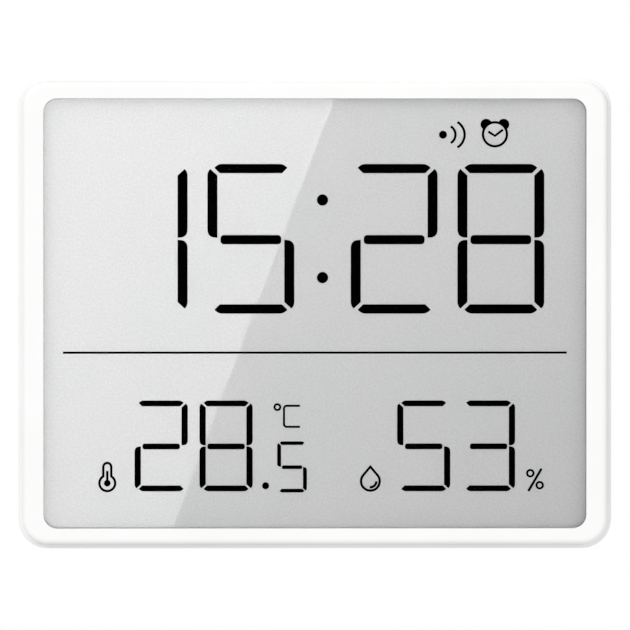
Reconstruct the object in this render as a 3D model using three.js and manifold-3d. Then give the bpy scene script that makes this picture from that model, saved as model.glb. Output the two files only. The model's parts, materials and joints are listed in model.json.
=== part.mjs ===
// A desk and wall clock with a large reflective liquid crystal display, in millimetres.
// X runs to the right as seen from the front, Y from the front face to the back, and Z up.
// Shapes are drawn with Y counted from the front face. The finished group is moved so that the
// origin lies under the middle of the case, on the surface that the clock stands on.

import * as THREE from 'three';
import { mergeVertices } from 'three/addons/utils/BufferGeometryUtils.js';
import Module from 'manifold-3d';

const wasm = await Module();
wasm.setup();

// Clearances
const touch = 0.02;               // flat faces that lie on one another
const fit = 0.3;                  // pieces that drop into one another
const runningFit = 0.2;           // round pieces that turn or slide in a hole, on the radius
const pinFit = 0.1;               // pins and screws in the holes that hold them, on the radius

// Rear case
const faceWidth = 126;
const faceHeight = 100;
const cornerRadius = 6.2;
const caseWall = 1.5;
const backWall = 1.8;
const backFillet = 2.5;
const rimFillet = 0.4;            // front edge of the case rim

// Front bezel
const bezelDepth = 3;
const rimStep = 0.95;             // how far the case rim stands out beyond the bezel
const frontFillet = 1.1;
const bezelSide = 5.4;
const bezelTop = 4.5;
const bezelBottom = 4.3;
const windowRadius = 2.9;
const lipThickness = 0.8;
const hookWidth = 8;
const hookThickness = 0.8;
const hookLength = 4;             // behind the bezel
const hookRoot = 0.6;             // inside the bezel
const barbHeight = 0.5;
const barbLength = 1.2;
const barbSlope = 0.17;           // rise of the barb's catching face along the hook
const hookFit = 0.15;
const hookSpreadX = 36;           // from the middle to the hooks along the top and the bottom
const hookSpreadZ = 24;           // from the middle to the hooks along the sides

// Display stack, from the front
const lensOverlap = 2;            // lens behind the lip, all round
const lensThickness = 1;
const tapeThickness = 0.14;
const tapeWidth = 1.5;
const lensAir = 0.3;
const polariserThickness = 0.2;
const glassThickness = 0.7;
const cellGap = 0.16;
const sealThickness = 0.12;
const sealWidth = 0.6;
const markThickness = 0.1;
const traceWidth = 0.12;
const reflectorThickness = 0.2;
const glassMargin = 0.7;          // glass hidden behind the lip at the sides and the bottom
const glassTopMargin = 0.2;       // rear glass hidden behind the lip at the top
const contactLedge = 1;           // front glass above the rear glass, for the contacts
const glassFit = 0.1;
const framePlate = 1;

// Digits: height, width, and the width of the level and upright strokes
const timeDigit = { height: 31.7, width: 18.36, row: 1.87, column: 2.02 };
const climateDigit = { height: 19.2, width: 11.2, row: 1.13, column: 1.23 };
const tenthsDigit = { height: 10.77, width: 6.23, row: 0.68, column: 0.74 };

// Form of the strokes, as shares of the stroke width
const endShare = 0.79;            // from the edge of the digit to the tip of a level stroke
const tipShare = 0.41;            // from the outer edge of a level stroke to its tip
const slantShare = 0.6;           // length of the slant that leads to the tip from inside
const shoulderShare = 0.85;       // length of the round shoulder that leads to it from outside
const columnEndShare = 0.58;      // the same four measures of an upright stroke
const columnTipShare = 0.28;
const columnSlantShare = 0.66;
const columnShoulderShare = 0.68;
const middleInsetShare = 1.48;    // from the edge of the digit to the end of the middle stroke
const middleGapShare = 0.31;      // between the upper and the lower upright strokes
const middleDropShare = 0.1;      // middle stroke below the middle of the digit
const heelShare = 0.92;           // height of the round heel beside the middle stroke
const soleShare = 0.85;           // width of that heel
const middleRoundShare = 0.36;
const upperShare = 0.75;          // height of the trace between two digits, as a share of the digit

// Layout of the display, from the middle and the edges of the window
const timeTopMargin = 13.9;
const timePitch = 22.68;
const colonX = 1.62;
const colonGap = 6.05;
const colonRise = 8.25;
const colonDiameter = 2.3;
const climateBottomMargin = 7.83;
const climatePitch = 13.79;
const temperatureReach = 38.27;   // from the middle of the window to the first temperature digit
const humidityMargin = 40.07;     // from the right edge of the window
const pointOffset = 2.79;         // decimal point, from the right edge of the second digit
const pointDiameter = 1.4;
const pointRise = 0.43;           // above the foot of the digits
const tenthsOffset = 5.3;         // tenths digit, from the right edge of the second digit
const tenthsSink = 0.25;          // tenths digit, below the foot of the others
const degreeDiameter = 1.58;
const degreeDrop = 0.46;          // middle of the degree ring below the top of the letter
const letterGap = 0.44;           // from the degree ring to the letter
const letterWidth = 3.53;
const letterHeight = 4.83;
const letterTopGap = 0.9;         // below the top of the digits
const letterRadius = 0.75;
const dividerMargin = 4.1;        // from the ends of the divider to the window
const dividerRise = 0.94;         // above the middle of the band between the rows
const lineWidth = 0.42;           // strokes of the divider and the icons
const fineLine = 0.36;            // strokes of the signs
const percentOffset = 2.89;       // percent sign, from the right edge of the second digit
const percentWidth = 2.75;
const percentHeight = 4.7;
const percentRing = 1.72;
const percentRings = [[0.39, 3.77], [2.39, 1.22]];    // middles, from the foot of the slanted stroke
const thermometerOffset = 5.86;   // from the first temperature digit
const thermometerSink = 0.2;      // below the foot of the digits
const thermometerHeight = 6.4;
const bulbRadius = 1.89;
const tubeRadius = 1.06;
const mercuryRadius = 0.66;
const mercuryHeight = 2.55;
const dropOffset = 5.74;          // from the first humidity digit
const dropSink = 0.12;            // below the foot of the digits
const dropRadius = 2.2;
const dropHeight = 5.33;
const glintRadius = 1.28;
const glintAngle = THREE.MathUtils.degToRad(46);
const glintHeading = THREE.MathUtils.degToRad(-49);
const iconTopMargin = 7.54;
const alarmMargin = 19.33;        // from the right edge of the window
const alarmRadius = 2.76;
const bellRadius = 1.15;
const bellSpread = 1.86;
const bellRise = 2.1;
const handFoot = -0.42;           // from the middle of the dial
const handLeft = [-1.38, 0.54];
const handRight = [1.65, 0.95];
const soundMargin = 30.38;        // from the right edge of the window
const soundSink = 0.1;            // below the middle of the dial
const soundDot = 0.8;
const soundReach = [2.65, 4.59];
const soundRadius = [2.05, 3.16];
const soundAngle = THREE.MathUtils.degToRad(58);

// Case screws
const postInsetX = 9;
const postInsetZ = 8;
const postDiameter = 7;
const postFloor = 1.6;
const bossDiameter = 5.5;
const bossHeight = 4;
const caseScrew = { shaft: 2.2, length: 5.4, head: 4.2, headHeight: 1.5, slot: 2.8 };
const driverSlotWidth = 0.6;
const driverSlotDepth = 0.7;

// Main board and what is on it
const boardThickness = 1.2;
const boardStandoff = 1.5;
const boardWidth = 37.5;
const boardHeight = 69.5;
const boardPostGap = 1;           // between a case post and the board
const zebraThickness = 0.8;
const zebraLength = 30;
const boardScrew = { shaft: 1.7, length: 2.9, head: 3.2, headHeight: 1.2, slot: 2.1 };
const boardBossDiameter = 4.5;
const boardScrewInset = 4;
const boardEdge = 1.6;            // between a part on the board and the board's edge
const blobDiameter = 11;
const blobHeight = 1.8;
const crystalDiameter = 2;
const crystalLength = 6;
const buzzerDiameter = 12;
const buzzerHeight = 5.5;
const buzzerHole = 2;
const sensorWidth = 7;
const sensorHeight = 9;
const sensorDepth = 3;
const sensorBay = 0.8;            // depth of the slots in the sensor's face
const sensorSlots = 4;
const sensorSlotPitch = 1.8;
const sensorSlotLength = 4.6;

// Buttons
const buttonCount = 3;
const buttonPitch = 14;
const buttonX = 11.5;             // from the left edge of the board
const buttonTopDrop = 17.9;       // from the top edge of the board to the first button
const capDiameter = 7;
const capFlange = 2;              // wider than the cap
const flangeThickness = 1;
const capRecess = 0.4;            // cap below the back face
const capCrown = 0.3;
const panelDepth = 1.2;
const panelWidth = 15;
const panelMargin = 1.2;
const stemDiameter = 3;
const switchWidth = 6;
const switchHeight = 3.5;
const plungerDiameter = 3.4;
const plungerRise = 1.5;
const plungerSunk = 0.7;
const buttonTravel = 0.5;

// Battery bay
const cellDiameter = 10.5;
const cellLength = 44.5;
const cellEdge = 0.4;
const nubDiameter = 3.8;
const nubLength = 1.2;
const cellSpacing = 1.5;
const cellSideGap = 0.75;
const cellFloorGap = 0.2;
const doorAir = 0.9;
const bayWall = 1.2;
const bayFloor = 1;
const bayInset = 6.5;             // from the case wall to the bay
const contactThickness = 0.4;
const contactWidth = 8;
const contactHeight = 7;
const contactGap = 0.1;
const tabWidth = 3;
const tabRise = 3.2;              // above the wall of the bay
const springHeight = 5;
const springWire = 0.6;
const springTurns = 3;
const springBase = 6.8;
const springTip = 4.4;
const doorLedge = 0.9;
const doorFit = 0.25;
const doorRadius = 1.5;
const doorTabWidth = 3;
const doorTabInset = 1.2;
const doorTabThickness = 1.4;
const doorTabReach = 1.8;
const doorTabRoot = 1.5;
const scoopRadius = 6;
const scoopDepth = 1.1;
const gripCount = 5;
const gripPitch = 2.2;
const gripWidth = 14;
const gripDepth = 0.4;
const leadDiameter = 1.2;
const leadStraight = 5;
const leadRise = 5;               // above the lugs of the leg

// Kickstand
const legWidth = 40;
const legThickness = 2.8;
const legFootGap = 1;             // above the surface that the clock stands on
const legPivot = 64;              // height of the pivot
const legInset = 0.3;             // leg below the back face
const legRadius = 4;
const legFootRadius = 1.2;
const legOpen = THREE.MathUtils.degToRad(28);
const pinDiameter = 1.6;
const pocketWall = 1.2;
const lugWidth = 4;
const lugReach = 3.2;             // around the pin
const thumbWidth = 18;
const thumbRadius = 8;
const thumbDepth = 0.8;
const thumbRise = 10;

// Wall hanging, vents and sound holes
const keyholeDrop = 16;           // from the top of the case to the entry
const keyholeEntry = 8.4;
const keyholeSlot = 4;
const keyholeRise = 5;
const keyholeDepth = 4.6;
const keyholeMargin = 2;
const ventCount = 5;
const ventPitch = 3;
const ventLength = 12;
const ventWidth = 1.4;
const soundHoleCount = 6;
const soundHoleDiameter = 1.6;
const soundHoleRing = 3.4;

// Fineness of round stretches
const cornerSteps = 3;
const filletSteps = 3;
const bigSides = 20;
const smallSides = 12;
const tinySides = 8;
const slotSteps = 1;
const domeSteps = 4;
const markSteps = 3;
const leadSides = 8;
const leadSteps = 18;
const springSides = 5;
const springSteps = 8;            // to a turn
const gapSteps = 60;              // points to a turn when the gap of a coil is measured
const weld = 1e-4;                // corners closer than this are one corner

// Depths behind the front face, from the front to the back
const tapeFront = lipThickness + touch;
const lensFront = tapeFront + tapeThickness + touch;
const lensBack = lensFront + lensThickness;
const polariserFront = lensBack + lensAir;
const polariserBack = polariserFront + polariserThickness;
const frontGlassFront = polariserBack + touch;
const frontGlassBack = frontGlassFront + glassThickness;
const rearGlassFront = frontGlassBack + cellGap;
const rearGlassBack = rearGlassFront + glassThickness;
const reflectorFront = rearGlassBack + touch;
const reflectorBack = reflectorFront + reflectorThickness;
const plateFront = reflectorBack + touch;
const plateBack = plateFront + framePlate;
const bayFloorFront = plateBack + fit;
const bayFloorBack = bayFloorFront + bayFloor;
const cellFront = bayFloorBack + cellFloorGap;
const cellAxis = cellFront + cellDiameter / 2;
const backInner = cellFront + cellDiameter + doorAir;
const caseDepth = backInner + backWall;
const boardFront = plateBack + boardStandoff + touch;
const boardBack = boardFront + boardThickness;
const onBoard = boardBack + touch;
const markFront = frontGlassBack + (cellGap - markThickness) / 2;
const markBack = markFront + markThickness;

// Edges of the window, the lens and the glass
const halfWidth = faceWidth / 2;
const middleZ = faceHeight / 2;
const windowX = halfWidth - bezelSide;
const windowLow = bezelBottom;
const windowHigh = faceHeight - bezelTop;
const lensX = windowX + lensOverlap;
const lensLow = windowLow - lensOverlap;
const lensHigh = windowHigh + lensOverlap;
const glassX = windowX + glassMargin;
const glassLow = windowLow - glassMargin;
const rearGlassHigh = windowHigh + glassTopMargin;
const frontGlassHigh = rearGlassHigh + contactLedge;

// Places on the display
const temperatureLeft = -temperatureReach;
const humidityLeft = windowX - humidityMargin;
const thermometerX = temperatureLeft - thermometerOffset;
const dropX = humidityLeft - dropOffset;
const alarmX = windowX - alarmMargin;
const soundX = windowX - soundMargin;

// Solids and how they are joined

function solid(geometry) {
  const plain = geometry.clone();
  plain.deleteAttribute('normal');
  plain.deleteAttribute('uv');
  const merged = mergeVertices(plain, weld);
  const vertProperties = new Float32Array(merged.attributes.position.array);
  const triVerts = new Uint32Array(merged.index.array);
  return new wasm.Manifold(new wasm.Mesh({ numProp: 3, vertProperties, triVerts }));
}

function geometryOf(body) {
  const { vertProperties, triVerts } = body.getMesh();
  const geometry = new THREE.BufferGeometry();
  geometry.setAttribute('position', new THREE.BufferAttribute(vertProperties, 3));
  geometry.setIndex(new THREE.BufferAttribute(triVerts, 1));
  geometry.computeVertexNormals();
  return geometry;
}

function join(...bodies) {
  return bodies.flat().reduce((sum, body) => sum.add(body));
}

function cut(body, ...tools) {
  return tools.flat().reduce((rest, tool) => rest.subtract(tool), body);
}

function count(number, make) {
  return Array.from({ length: number }, (_, index) => make(index));
}

// Outlines

function roundedRectangle(x0, x1, z0, z1, radius) {
  const shape = new THREE.Shape();
  shape.absarc(x1 - radius, z0 + radius, radius, -Math.PI / 2, 0);
  shape.absarc(x1 - radius, z1 - radius, radius, 0, Math.PI / 2);
  shape.absarc(x0 + radius, z1 - radius, radius, Math.PI / 2, Math.PI);
  shape.absarc(x0 + radius, z0 + radius, radius, Math.PI, 1.5 * Math.PI);
  return shape;
}

function polygon(points) {
  return new THREE.Shape(points.map(([u, v]) => new THREE.Vector2(u, v)));
}

function regularPolygon(radius, sides) {
  return polygon(count(sides, (index) => {
    const angle = 2 * Math.PI * index / sides;
    return [radius * Math.cos(angle), radius * Math.sin(angle)];
  }));
}

function disc(x, z, radius) {
  const shape = new THREE.Shape();
  shape.absarc(x, z, radius, 0, Math.PI);
  shape.absarc(x, z, radius, Math.PI, 2 * Math.PI);
  return shape;
}

function ring(x, z, radius, width) {
  const shape = disc(x, z, radius);
  shape.holes.push(disc(x, z, radius - width));
  return shape;
}

function bar(x0, z0, x1, z1, width) {
  const across = new THREE.Vector2(z0 - z1, x1 - x0).setLength(width / 2);
  return polygon([
    [x0 - across.x, z0 - across.y],
    [x1 - across.x, z1 - across.y],
    [x1 + across.x, z1 + across.y],
    [x0 + across.x, z0 + across.y],
  ]);
}

function arcBand(x, z, radius, width, halfAngle, heading = 0) {
  const shape = new THREE.Shape();
  shape.absarc(x, z, radius + width / 2, heading - halfAngle, heading + halfAngle);
  shape.absarc(x, z, radius - width / 2, heading + halfAngle, heading - halfAngle, true);
  return shape;
}

// Basic bodies

function box(x0, x1, y0, y1, z0, z1) {
  const geometry = new THREE.BoxGeometry(x1 - x0, y1 - y0, z1 - z0);
  geometry.translate((x0 + x1) / 2, (y0 + y1) / 2, (z0 + z1) / 2);
  return solid(geometry);
}

// An outline in X and Z, carried from one depth to another.
function slab(outline, front, back, curveSegments = cornerSteps) {
  const options = { depth: back - front, bevelEnabled: false, curveSegments };
  const geometry = new THREE.ExtrudeGeometry(outline, options);
  geometry.rotateX(Math.PI / 2);
  geometry.translate(0, back, 0);
  return solid(geometry);
}

// A slab whose front or back edge is rounded.
function filletedSlab(outline, front, back, fillet, atBack) {
  const length = back - front;
  const geometry = new THREE.ExtrudeGeometry(outline, {
    depth: length,
    bevelThickness: fillet,
    bevelSize: fillet,
    bevelOffset: -fillet,
    bevelSegments: filletSteps,
    curveSegments: cornerSteps,
  });
  geometry.rotateX(Math.PI / 2);
  geometry.translate(0, atBack ? back - fillet : back + fillet, 0);
  return solid(geometry).intersect(box(-faceWidth, faceWidth, front, back, -faceHeight, 2 * faceHeight));
}

// An outline in Y and Z, carried along X.
function sweepX(outline, x0, x1) {
  const options = { depth: x1 - x0, bevelEnabled: false, curveSegments: cornerSteps };
  const geometry = new THREE.ExtrudeGeometry(outline, options);
  const turn = new THREE.Matrix4().makeBasis(
    new THREE.Vector3(0, 1, 0),
    new THREE.Vector3(0, 0, 1),
    new THREE.Vector3(1, 0, 0),
  );
  geometry.applyMatrix4(turn);
  geometry.translate(x0, 0, 0);
  return solid(geometry);
}

function roundY(x, z, diameter, front, back, sides = smallSides) {
  const geometry = new THREE.CylinderGeometry(diameter / 2, diameter / 2, back - front, sides);
  geometry.translate(x, (front + back) / 2, z);
  return solid(geometry);
}

function roundX(y, z, diameter, x0, x1, sides = smallSides) {
  const geometry = new THREE.CylinderGeometry(diameter / 2, diameter / 2, x1 - x0, sides);
  geometry.rotateZ(Math.PI / 2);
  geometry.translate((x0 + x1) / 2, y, z);
  return solid(geometry);
}

// A profile of [radius, height] pairs from one end of the axis to the other, turned about Y.
function turned(profile, sides) {
  const points = profile.map(([radius, height]) => new THREE.Vector2(radius, height));
  return new THREE.LatheGeometry(points, sides);
}

function tube(path, diameter, sides, steps) {
  const section = regularPolygon(diameter / 2, sides);
  return new THREE.ExtrudeGeometry(section, { steps, extrudePath: path });
}

// Finishes
function finish(color, roughness, metalness) {
  return new THREE.MeshStandardMaterial({ color, roughness, metalness });
}

const whitePlastic = finish(0xf4f4f3, 0.4, 0);
const innerPlastic = finish(0xe4e5e4, 0.6, 0);
const clearLens = new THREE.MeshStandardMaterial({
  color: 0xf2f5f5, roughness: 0.05, metalness: 0, transparent: true, opacity: 0.12,
});
const clearGlass = new THREE.MeshStandardMaterial({
  color: 0xeef2f0, roughness: 0.08, metalness: 0, transparent: true, opacity: 0.15,
});
const silverSheet = finish(0xc9c9c7, 0.45, 0.2);
const markBlack = finish(0x121212, 0.6, 0);
const tapeBlack = finish(0x2b2b2b, 0.8, 0);
const sealGrey = finish(0xb9bcb8, 0.6, 0);
const zebraRubber = finish(0x4a3f52, 0.7, 0);
const boardGreen = finish(0x1f6b3a, 0.55, 0);
const resinBlack = finish(0x151515, 0.45, 0);
const steel = finish(0xb9bcc0, 0.35, 0.9);
const nickel = finish(0xc9c6bd, 0.3, 0.9);
const greyCap = finish(0xd9dad9, 0.5, 0);
const cellJacket = finish(0x3d5f7d, 0.4, 0.2);
const sensorWhite = finish(0xe9ecef, 0.5, 0);
const redJacket = finish(0xb3231f, 0.55, 0);
const blackJacket = finish(0x1c1c1c, 0.55, 0);

const clock = new THREE.Group();

function add(name, shape, material) {
  const geometry = shape.isBufferGeometry ? shape : geometryOf(shape);
  const mesh = new THREE.Mesh(geometry, material);
  mesh.name = name;
  clock.add(mesh);
  return mesh;
}

// Snap hooks: each is drawn with its outer face on the Y axis and turned to its side of the case.
const sideTurns = { right: 0, top: -Math.PI / 2, left: Math.PI, bottom: Math.PI / 2 };
const hookPlaces = [-1, 1].flatMap((sign) => [
  { side: 'right', x: halfWidth - caseWall - hookFit, z: middleZ + sign * hookSpreadZ },
  { side: 'left', x: -halfWidth + caseWall + hookFit, z: middleZ + sign * hookSpreadZ },
  { side: 'top', x: sign * hookSpreadX, z: faceHeight - caseWall - hookFit },
  { side: 'bottom', x: sign * hookSpreadX, z: caseWall + hookFit },
]);

function atHook(place, outline, width) {
  const geometry = new THREE.ExtrudeGeometry(outline, { depth: width, bevelEnabled: false });
  geometry.translate(0, 0, -width / 2);
  geometry.rotateY(sideTurns[place.side]);
  geometry.translate(place.x, 0, place.z);
  return solid(geometry);
}

const hookEnd = bezelDepth + hookLength;
const barbFront = hookEnd - barbLength;
const hookOutline = polygon([
  [-hookThickness, bezelDepth - hookRoot],
  [0, bezelDepth - hookRoot],
  [0, barbFront],
  [barbHeight, barbFront + barbSlope],
  [0, hookEnd],
  [-hookThickness, hookEnd],
]);
const barbPocketOutline = polygon([
  [-hookThickness, barbFront - fit],
  [hookFit + barbHeight + pinFit, barbFront - fit],
  [hookFit + barbHeight + pinFit, hookEnd + fit],
  [-hookThickness, hookEnd + fit],
]);
const hookRoomOutline = polygon([
  [-hookThickness - fit, 0],
  [caseWall, 0],
  [caseWall, hookEnd + fit],
  [-hookThickness - fit, hookEnd + fit],
]);

// Front bezel: a shallow frame with a rounded front edge, a lip over the lens and eight hooks.
function frontBezel() {
  const outline = roundedRectangle(
    -halfWidth + rimStep, halfWidth - rimStep, rimStep, faceHeight - rimStep, cornerRadius - rimStep,
  );
  const window = roundedRectangle(-windowX, windowX, windowLow, windowHigh, windowRadius);
  const seat = roundedRectangle(-lensX - fit, lensX + fit, lensLow - fit, lensHigh + fit, windowRadius);
  const frame = cut(
    filletedSlab(outline, 0, bezelDepth, frontFillet, false),
    slab(window, -fit, bezelDepth + fit),
    slab(seat, lipThickness, bezelDepth + fit),
  );
  return join(frame, hookPlaces.map((place) => atHook(place, hookOutline, hookWidth)));
}
add('front_bezel', frontBezel(), whitePlastic);

// Lens, and the adhesive frame that holds it to the lip.
const lensOutline = roundedRectangle(-lensX, lensX, lensLow, lensHigh, windowRadius);
add('display_lens', slab(lensOutline, lensFront, lensBack), clearLens);

function lensTape() {
  const inner = lensOverlap - tapeWidth;
  const opening = roundedRectangle(
    -windowX - inner, windowX + inner, windowLow - inner, windowHigh + inner, windowRadius,
  );
  return cut(
    slab(lensOutline, tapeFront, tapeFront + tapeThickness),
    slab(opening, 0, lensBack),
  );
}
add('lens_tape', lensTape(), tapeBlack);

// Display cell
add('lcd_front_polariser',
  box(-glassX, glassX, polariserFront, polariserBack, glassLow, rearGlassHigh), clearGlass);
add('lcd_front_glass',
  box(-glassX, glassX, frontGlassFront, frontGlassBack, glassLow, frontGlassHigh), clearGlass);
add('lcd_rear_glass',
  box(-glassX, glassX, rearGlassFront, rearGlassBack, glassLow, rearGlassHigh), clearGlass);
add('lcd_reflector',
  box(-glassX, glassX, reflectorFront, reflectorBack, glassLow, rearGlassHigh), silverSheet);

function edgeSeal() {
  const front = frontGlassBack + (cellGap - sealThickness) / 2;
  const back = front + sealThickness;
  return cut(
    box(-glassX, glassX, front, back, glassLow, rearGlassHigh),
    box(-glassX + sealWidth, glassX - sealWidth, front - fit, back + fit,
      glassLow + sealWidth, rearGlassHigh - glassTopMargin / 2),
  );
}
add('lcd_edge_seal', edgeSeal(), sealGrey);

// Marks of the display. Fine traces, like the leads of a real cell, join the strokes of one mark.

function flatMark(outline) {
  return slab(outline, markFront, markBack, markSteps);
}

function trace(x0, z0, x1, z1) {
  return flatMark(bar(x0, z0, x1, z1, traceWidth));
}

// Measures of one seven-stroke digit, from its lower left corner.
function digitForm({ height, width, row, column }) {
  return {
    height,
    width,
    row,
    column,
    end: endShare * row,
    tip: tipShare * row,
    slant: slantShare * row,
    shoulder: shoulderShare * row,
    columnEnd: columnEndShare * row,
    columnTip: columnTipShare * column,
    columnSlant: columnSlantShare * column,
    columnShoulder: columnShoulderShare * column,
    middleInset: middleInsetShare * row,
    gap: middleGapShare * row,
    drop: middleDropShare * row,
    heel: heelShare * row,
    sole: soleShare * column,
    round: middleRoundShare * row,
  };
}

function levelStroke(form, place) {
  const { height, width, row, end, tip, slant, shoulder } = form;
  const right = width - end;
  const shape = new THREE.Shape();
  shape.moveTo(...place(end + slant, height - row));
  shape.lineTo(...place(right - slant, height - row));
  shape.lineTo(...place(right, height - tip));
  shape.quadraticCurveTo(...place(right - tip, height), ...place(right - shoulder, height));
  shape.lineTo(...place(end + shoulder, height));
  shape.quadraticCurveTo(...place(end + tip, height), ...place(end, height - tip));
  return shape;
}

function uprightStroke(form, place) {
  const { height, column, columnEnd, columnTip, columnSlant, columnShoulder, gap, heel, sole } = form;
  const top = height - columnEnd;
  const low = height / 2 + gap / 2;
  const shape = new THREE.Shape();
  shape.moveTo(...place(column, low));
  shape.lineTo(...place(column, top - columnSlant));
  shape.lineTo(...place(columnTip, top));
  shape.quadraticCurveTo(...place(0, top - columnTip), ...place(0, top - columnShoulder));
  shape.lineTo(...place(0, low + heel));
  shape.quadraticCurveTo(...place(0, low), ...place(sole, low));
  return shape;
}

// The seven strokes of a digit: the outline, and the two ends of the middle line.
function digitStrokes(form, left, low) {
  const { height, width, row, column, end, columnEnd, middleInset, gap, drop, heel, round } = form;
  const placed = (mirrorX, mirrorZ) => (x, z) => [
    left + (mirrorX ? width - x : x),
    low + (mirrorZ ? height - z : z),
  ];
  const level = (mirrorZ) => {
    const place = placed(false, mirrorZ);
    const ends = [place(end + row, height - row / 2), place(width - end - row, height - row / 2)];
    return { outline: levelStroke(form, place), ends };
  };
  const upright = (mirrorX, mirrorZ) => {
    const place = placed(mirrorX, mirrorZ);
    const ends = [
      place(column / 2, height - columnEnd - column),
      place(column / 2, height / 2 + gap / 2 + heel),
    ];
    return { outline: uprightStroke(form, place), ends };
  };
  const place = placed(false, false);
  const middleLine = height / 2 - drop;
  const [x0, z0] = place(middleInset, middleLine - row / 2);
  const [x1, z1] = place(width - middleInset, middleLine + row / 2);
  const middle = {
    outline: roundedRectangle(x0, x1, z0, z1, round),
    ends: [place(middleInset + row, middleLine), place(width - middleInset - row, middleLine)],
  };
  return {
    a: level(false), d: level(true), g: middle,
    f: upright(false, false), b: upright(true, false),
    e: upright(false, true), c: upright(true, true),
  };
}

const strokesOf = { 1: 'bc', 2: 'abged', 3: 'abgcd', 5: 'afgcd', 8: 'abcdefg' };
const tracesOf = {
  1: ['bc'],
  2: ['ab', 'bg', 'ge', 'ed'],
  3: ['ab', 'bg', 'gc', 'cd'],
  5: ['af', 'fg', 'gc', 'cd'],
  8: ['af', 'ab', 'fg', 'gc', 'cd', 'ge'],
};

function nearestEnds(first, second) {
  const pairs = first.ends.flatMap((p) => second.ends.map((q) => [p, q]));
  const reach = ([p, q]) => Math.hypot(p[0] - q[0], p[1] - q[1]);
  return pairs.reduce((best, pair) => (reach(pair) < reach(best) ? pair : best));
}

function digit(value, size, left, low) {
  const strokes = digitStrokes(digitForm(size), left, low);
  const marks = [...strokesOf[value]].map((key) => flatMark(strokes[key].outline));
  const traces = tracesOf[value].map(([first, second]) => {
    const [p, q] = nearestEnds(strokes[first], strokes[second]);
    return trace(...p, ...q);
  });
  return join(marks, traces);
}

const timeLow = windowHigh - timeTopMargin - timeDigit.height;
const timeUpper = timeLow + timeDigit.height * upperShare;
const hoursLeft = colonX - colonGap - timeDigit.width - timePitch;
const minutesLeft = colonX + colonGap;
add('lcd_hour_digits', join(
  digit(1, timeDigit, hoursLeft, timeLow),
  digit(5, timeDigit, hoursLeft + timePitch, timeLow),
  trace(hoursLeft + timeDigit.width - timeDigit.column / 2, timeUpper,
    hoursLeft + timePitch + timeDigit.column / 2, timeUpper),
), markBlack);
add('lcd_minute_digits', join(
  digit(2, timeDigit, minutesLeft, timeLow),
  digit(8, timeDigit, minutesLeft + timePitch, timeLow),
  trace(minutesLeft + timeDigit.width - timeDigit.column / 2, timeUpper,
    minutesLeft + timePitch + timeDigit.column / 2, timeUpper),
), markBlack);

const timeMiddle = timeLow + timeDigit.height / 2;
add('lcd_colon', join(
  flatMark(disc(colonX, timeMiddle + colonRise, colonDiameter / 2)),
  flatMark(disc(colonX, timeMiddle - colonRise, colonDiameter / 2)),
  trace(colonX, timeMiddle - colonRise, colonX, timeMiddle + colonRise),
), markBlack);

const climateLow = windowLow + climateBottomMargin;
const climateHigh = climateLow + climateDigit.height;
const climateMiddle = climateLow + climateDigit.height / 2;
const climateUpper = climateLow + climateDigit.height * upperShare;
const dividerX = windowX - dividerMargin;
const dividerZ = (climateHigh + timeLow) / 2 + dividerRise;
add('lcd_divider', flatMark(bar(-dividerX, dividerZ, dividerX, dividerZ, lineWidth)), markBlack);

const unitsLeft = temperatureLeft + climatePitch;
const unitsRight = unitsLeft + climateDigit.width;
const pointX = unitsRight + pointOffset;
const pointZ = climateLow + pointRise + pointDiameter / 2;
const tenthsLeft = unitsRight + tenthsOffset;
const tenthsLow = climateLow - tenthsSink;
const climateColumn = climateDigit.column / 2;
add('lcd_temperature_digits', join(
  digit(2, climateDigit, temperatureLeft, climateLow),
  digit(8, climateDigit, unitsLeft, climateLow),
  trace(unitsLeft - climatePitch + climateDigit.width - climateColumn, climateUpper,
    unitsLeft + climateColumn, climateUpper),
  flatMark(disc(pointX, pointZ, pointDiameter / 2)),
  trace(unitsRight - climateColumn, climateLow + 2 * climateDigit.column, pointX, pointZ),
  digit(5, tenthsDigit, tenthsLeft, tenthsLow),
  trace(pointX, pointZ, tenthsLeft + tenthsDigit.width / 2, tenthsLow + tenthsDigit.row / 2),
), markBlack);

const secondLeft = humidityLeft + climatePitch;
add('lcd_humidity_digits', join(
  digit(5, climateDigit, humidityLeft, climateLow),
  digit(3, climateDigit, secondLeft, climateLow),
  trace(humidityLeft + climateDigit.width / 2, climateMiddle,
    secondLeft + climateDigit.width / 2, climateMiddle),
), markBlack);

function celsiusSign() {
  const high = climateHigh - letterTopGap;
  const low = high - letterHeight;
  const left = tenthsLeft + degreeDiameter / 2 + letterGap;
  const right = left + letterWidth;
  const outer = roundedRectangle(left, right + letterRadius, low, high, letterRadius);
  const inner = roundedRectangle(left + fineLine, right + letterRadius,
    low + fineLine, high - fineLine, letterRadius - fineLine);
  const letter = cut(
    flatMark(outer),
    slab(inner, markFront - fit, markBack + fit, markSteps),
    box(right, right + 2 * letterRadius, markFront - fit, markBack + fit, low - fit, high + fit),
  );
  const degreeZ = high - degreeDrop;
  const lead = degreeDiameter / 2 - fineLine / 2;
  return join(
    letter,
    flatMark(ring(tenthsLeft, degreeZ, degreeDiameter / 2, fineLine)),
    trace(tenthsLeft + lead, degreeZ, left + fineLine / 2, low + letterHeight / 2),
  );
}
add('lcd_celsius_sign', celsiusSign(), markBlack);

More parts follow.
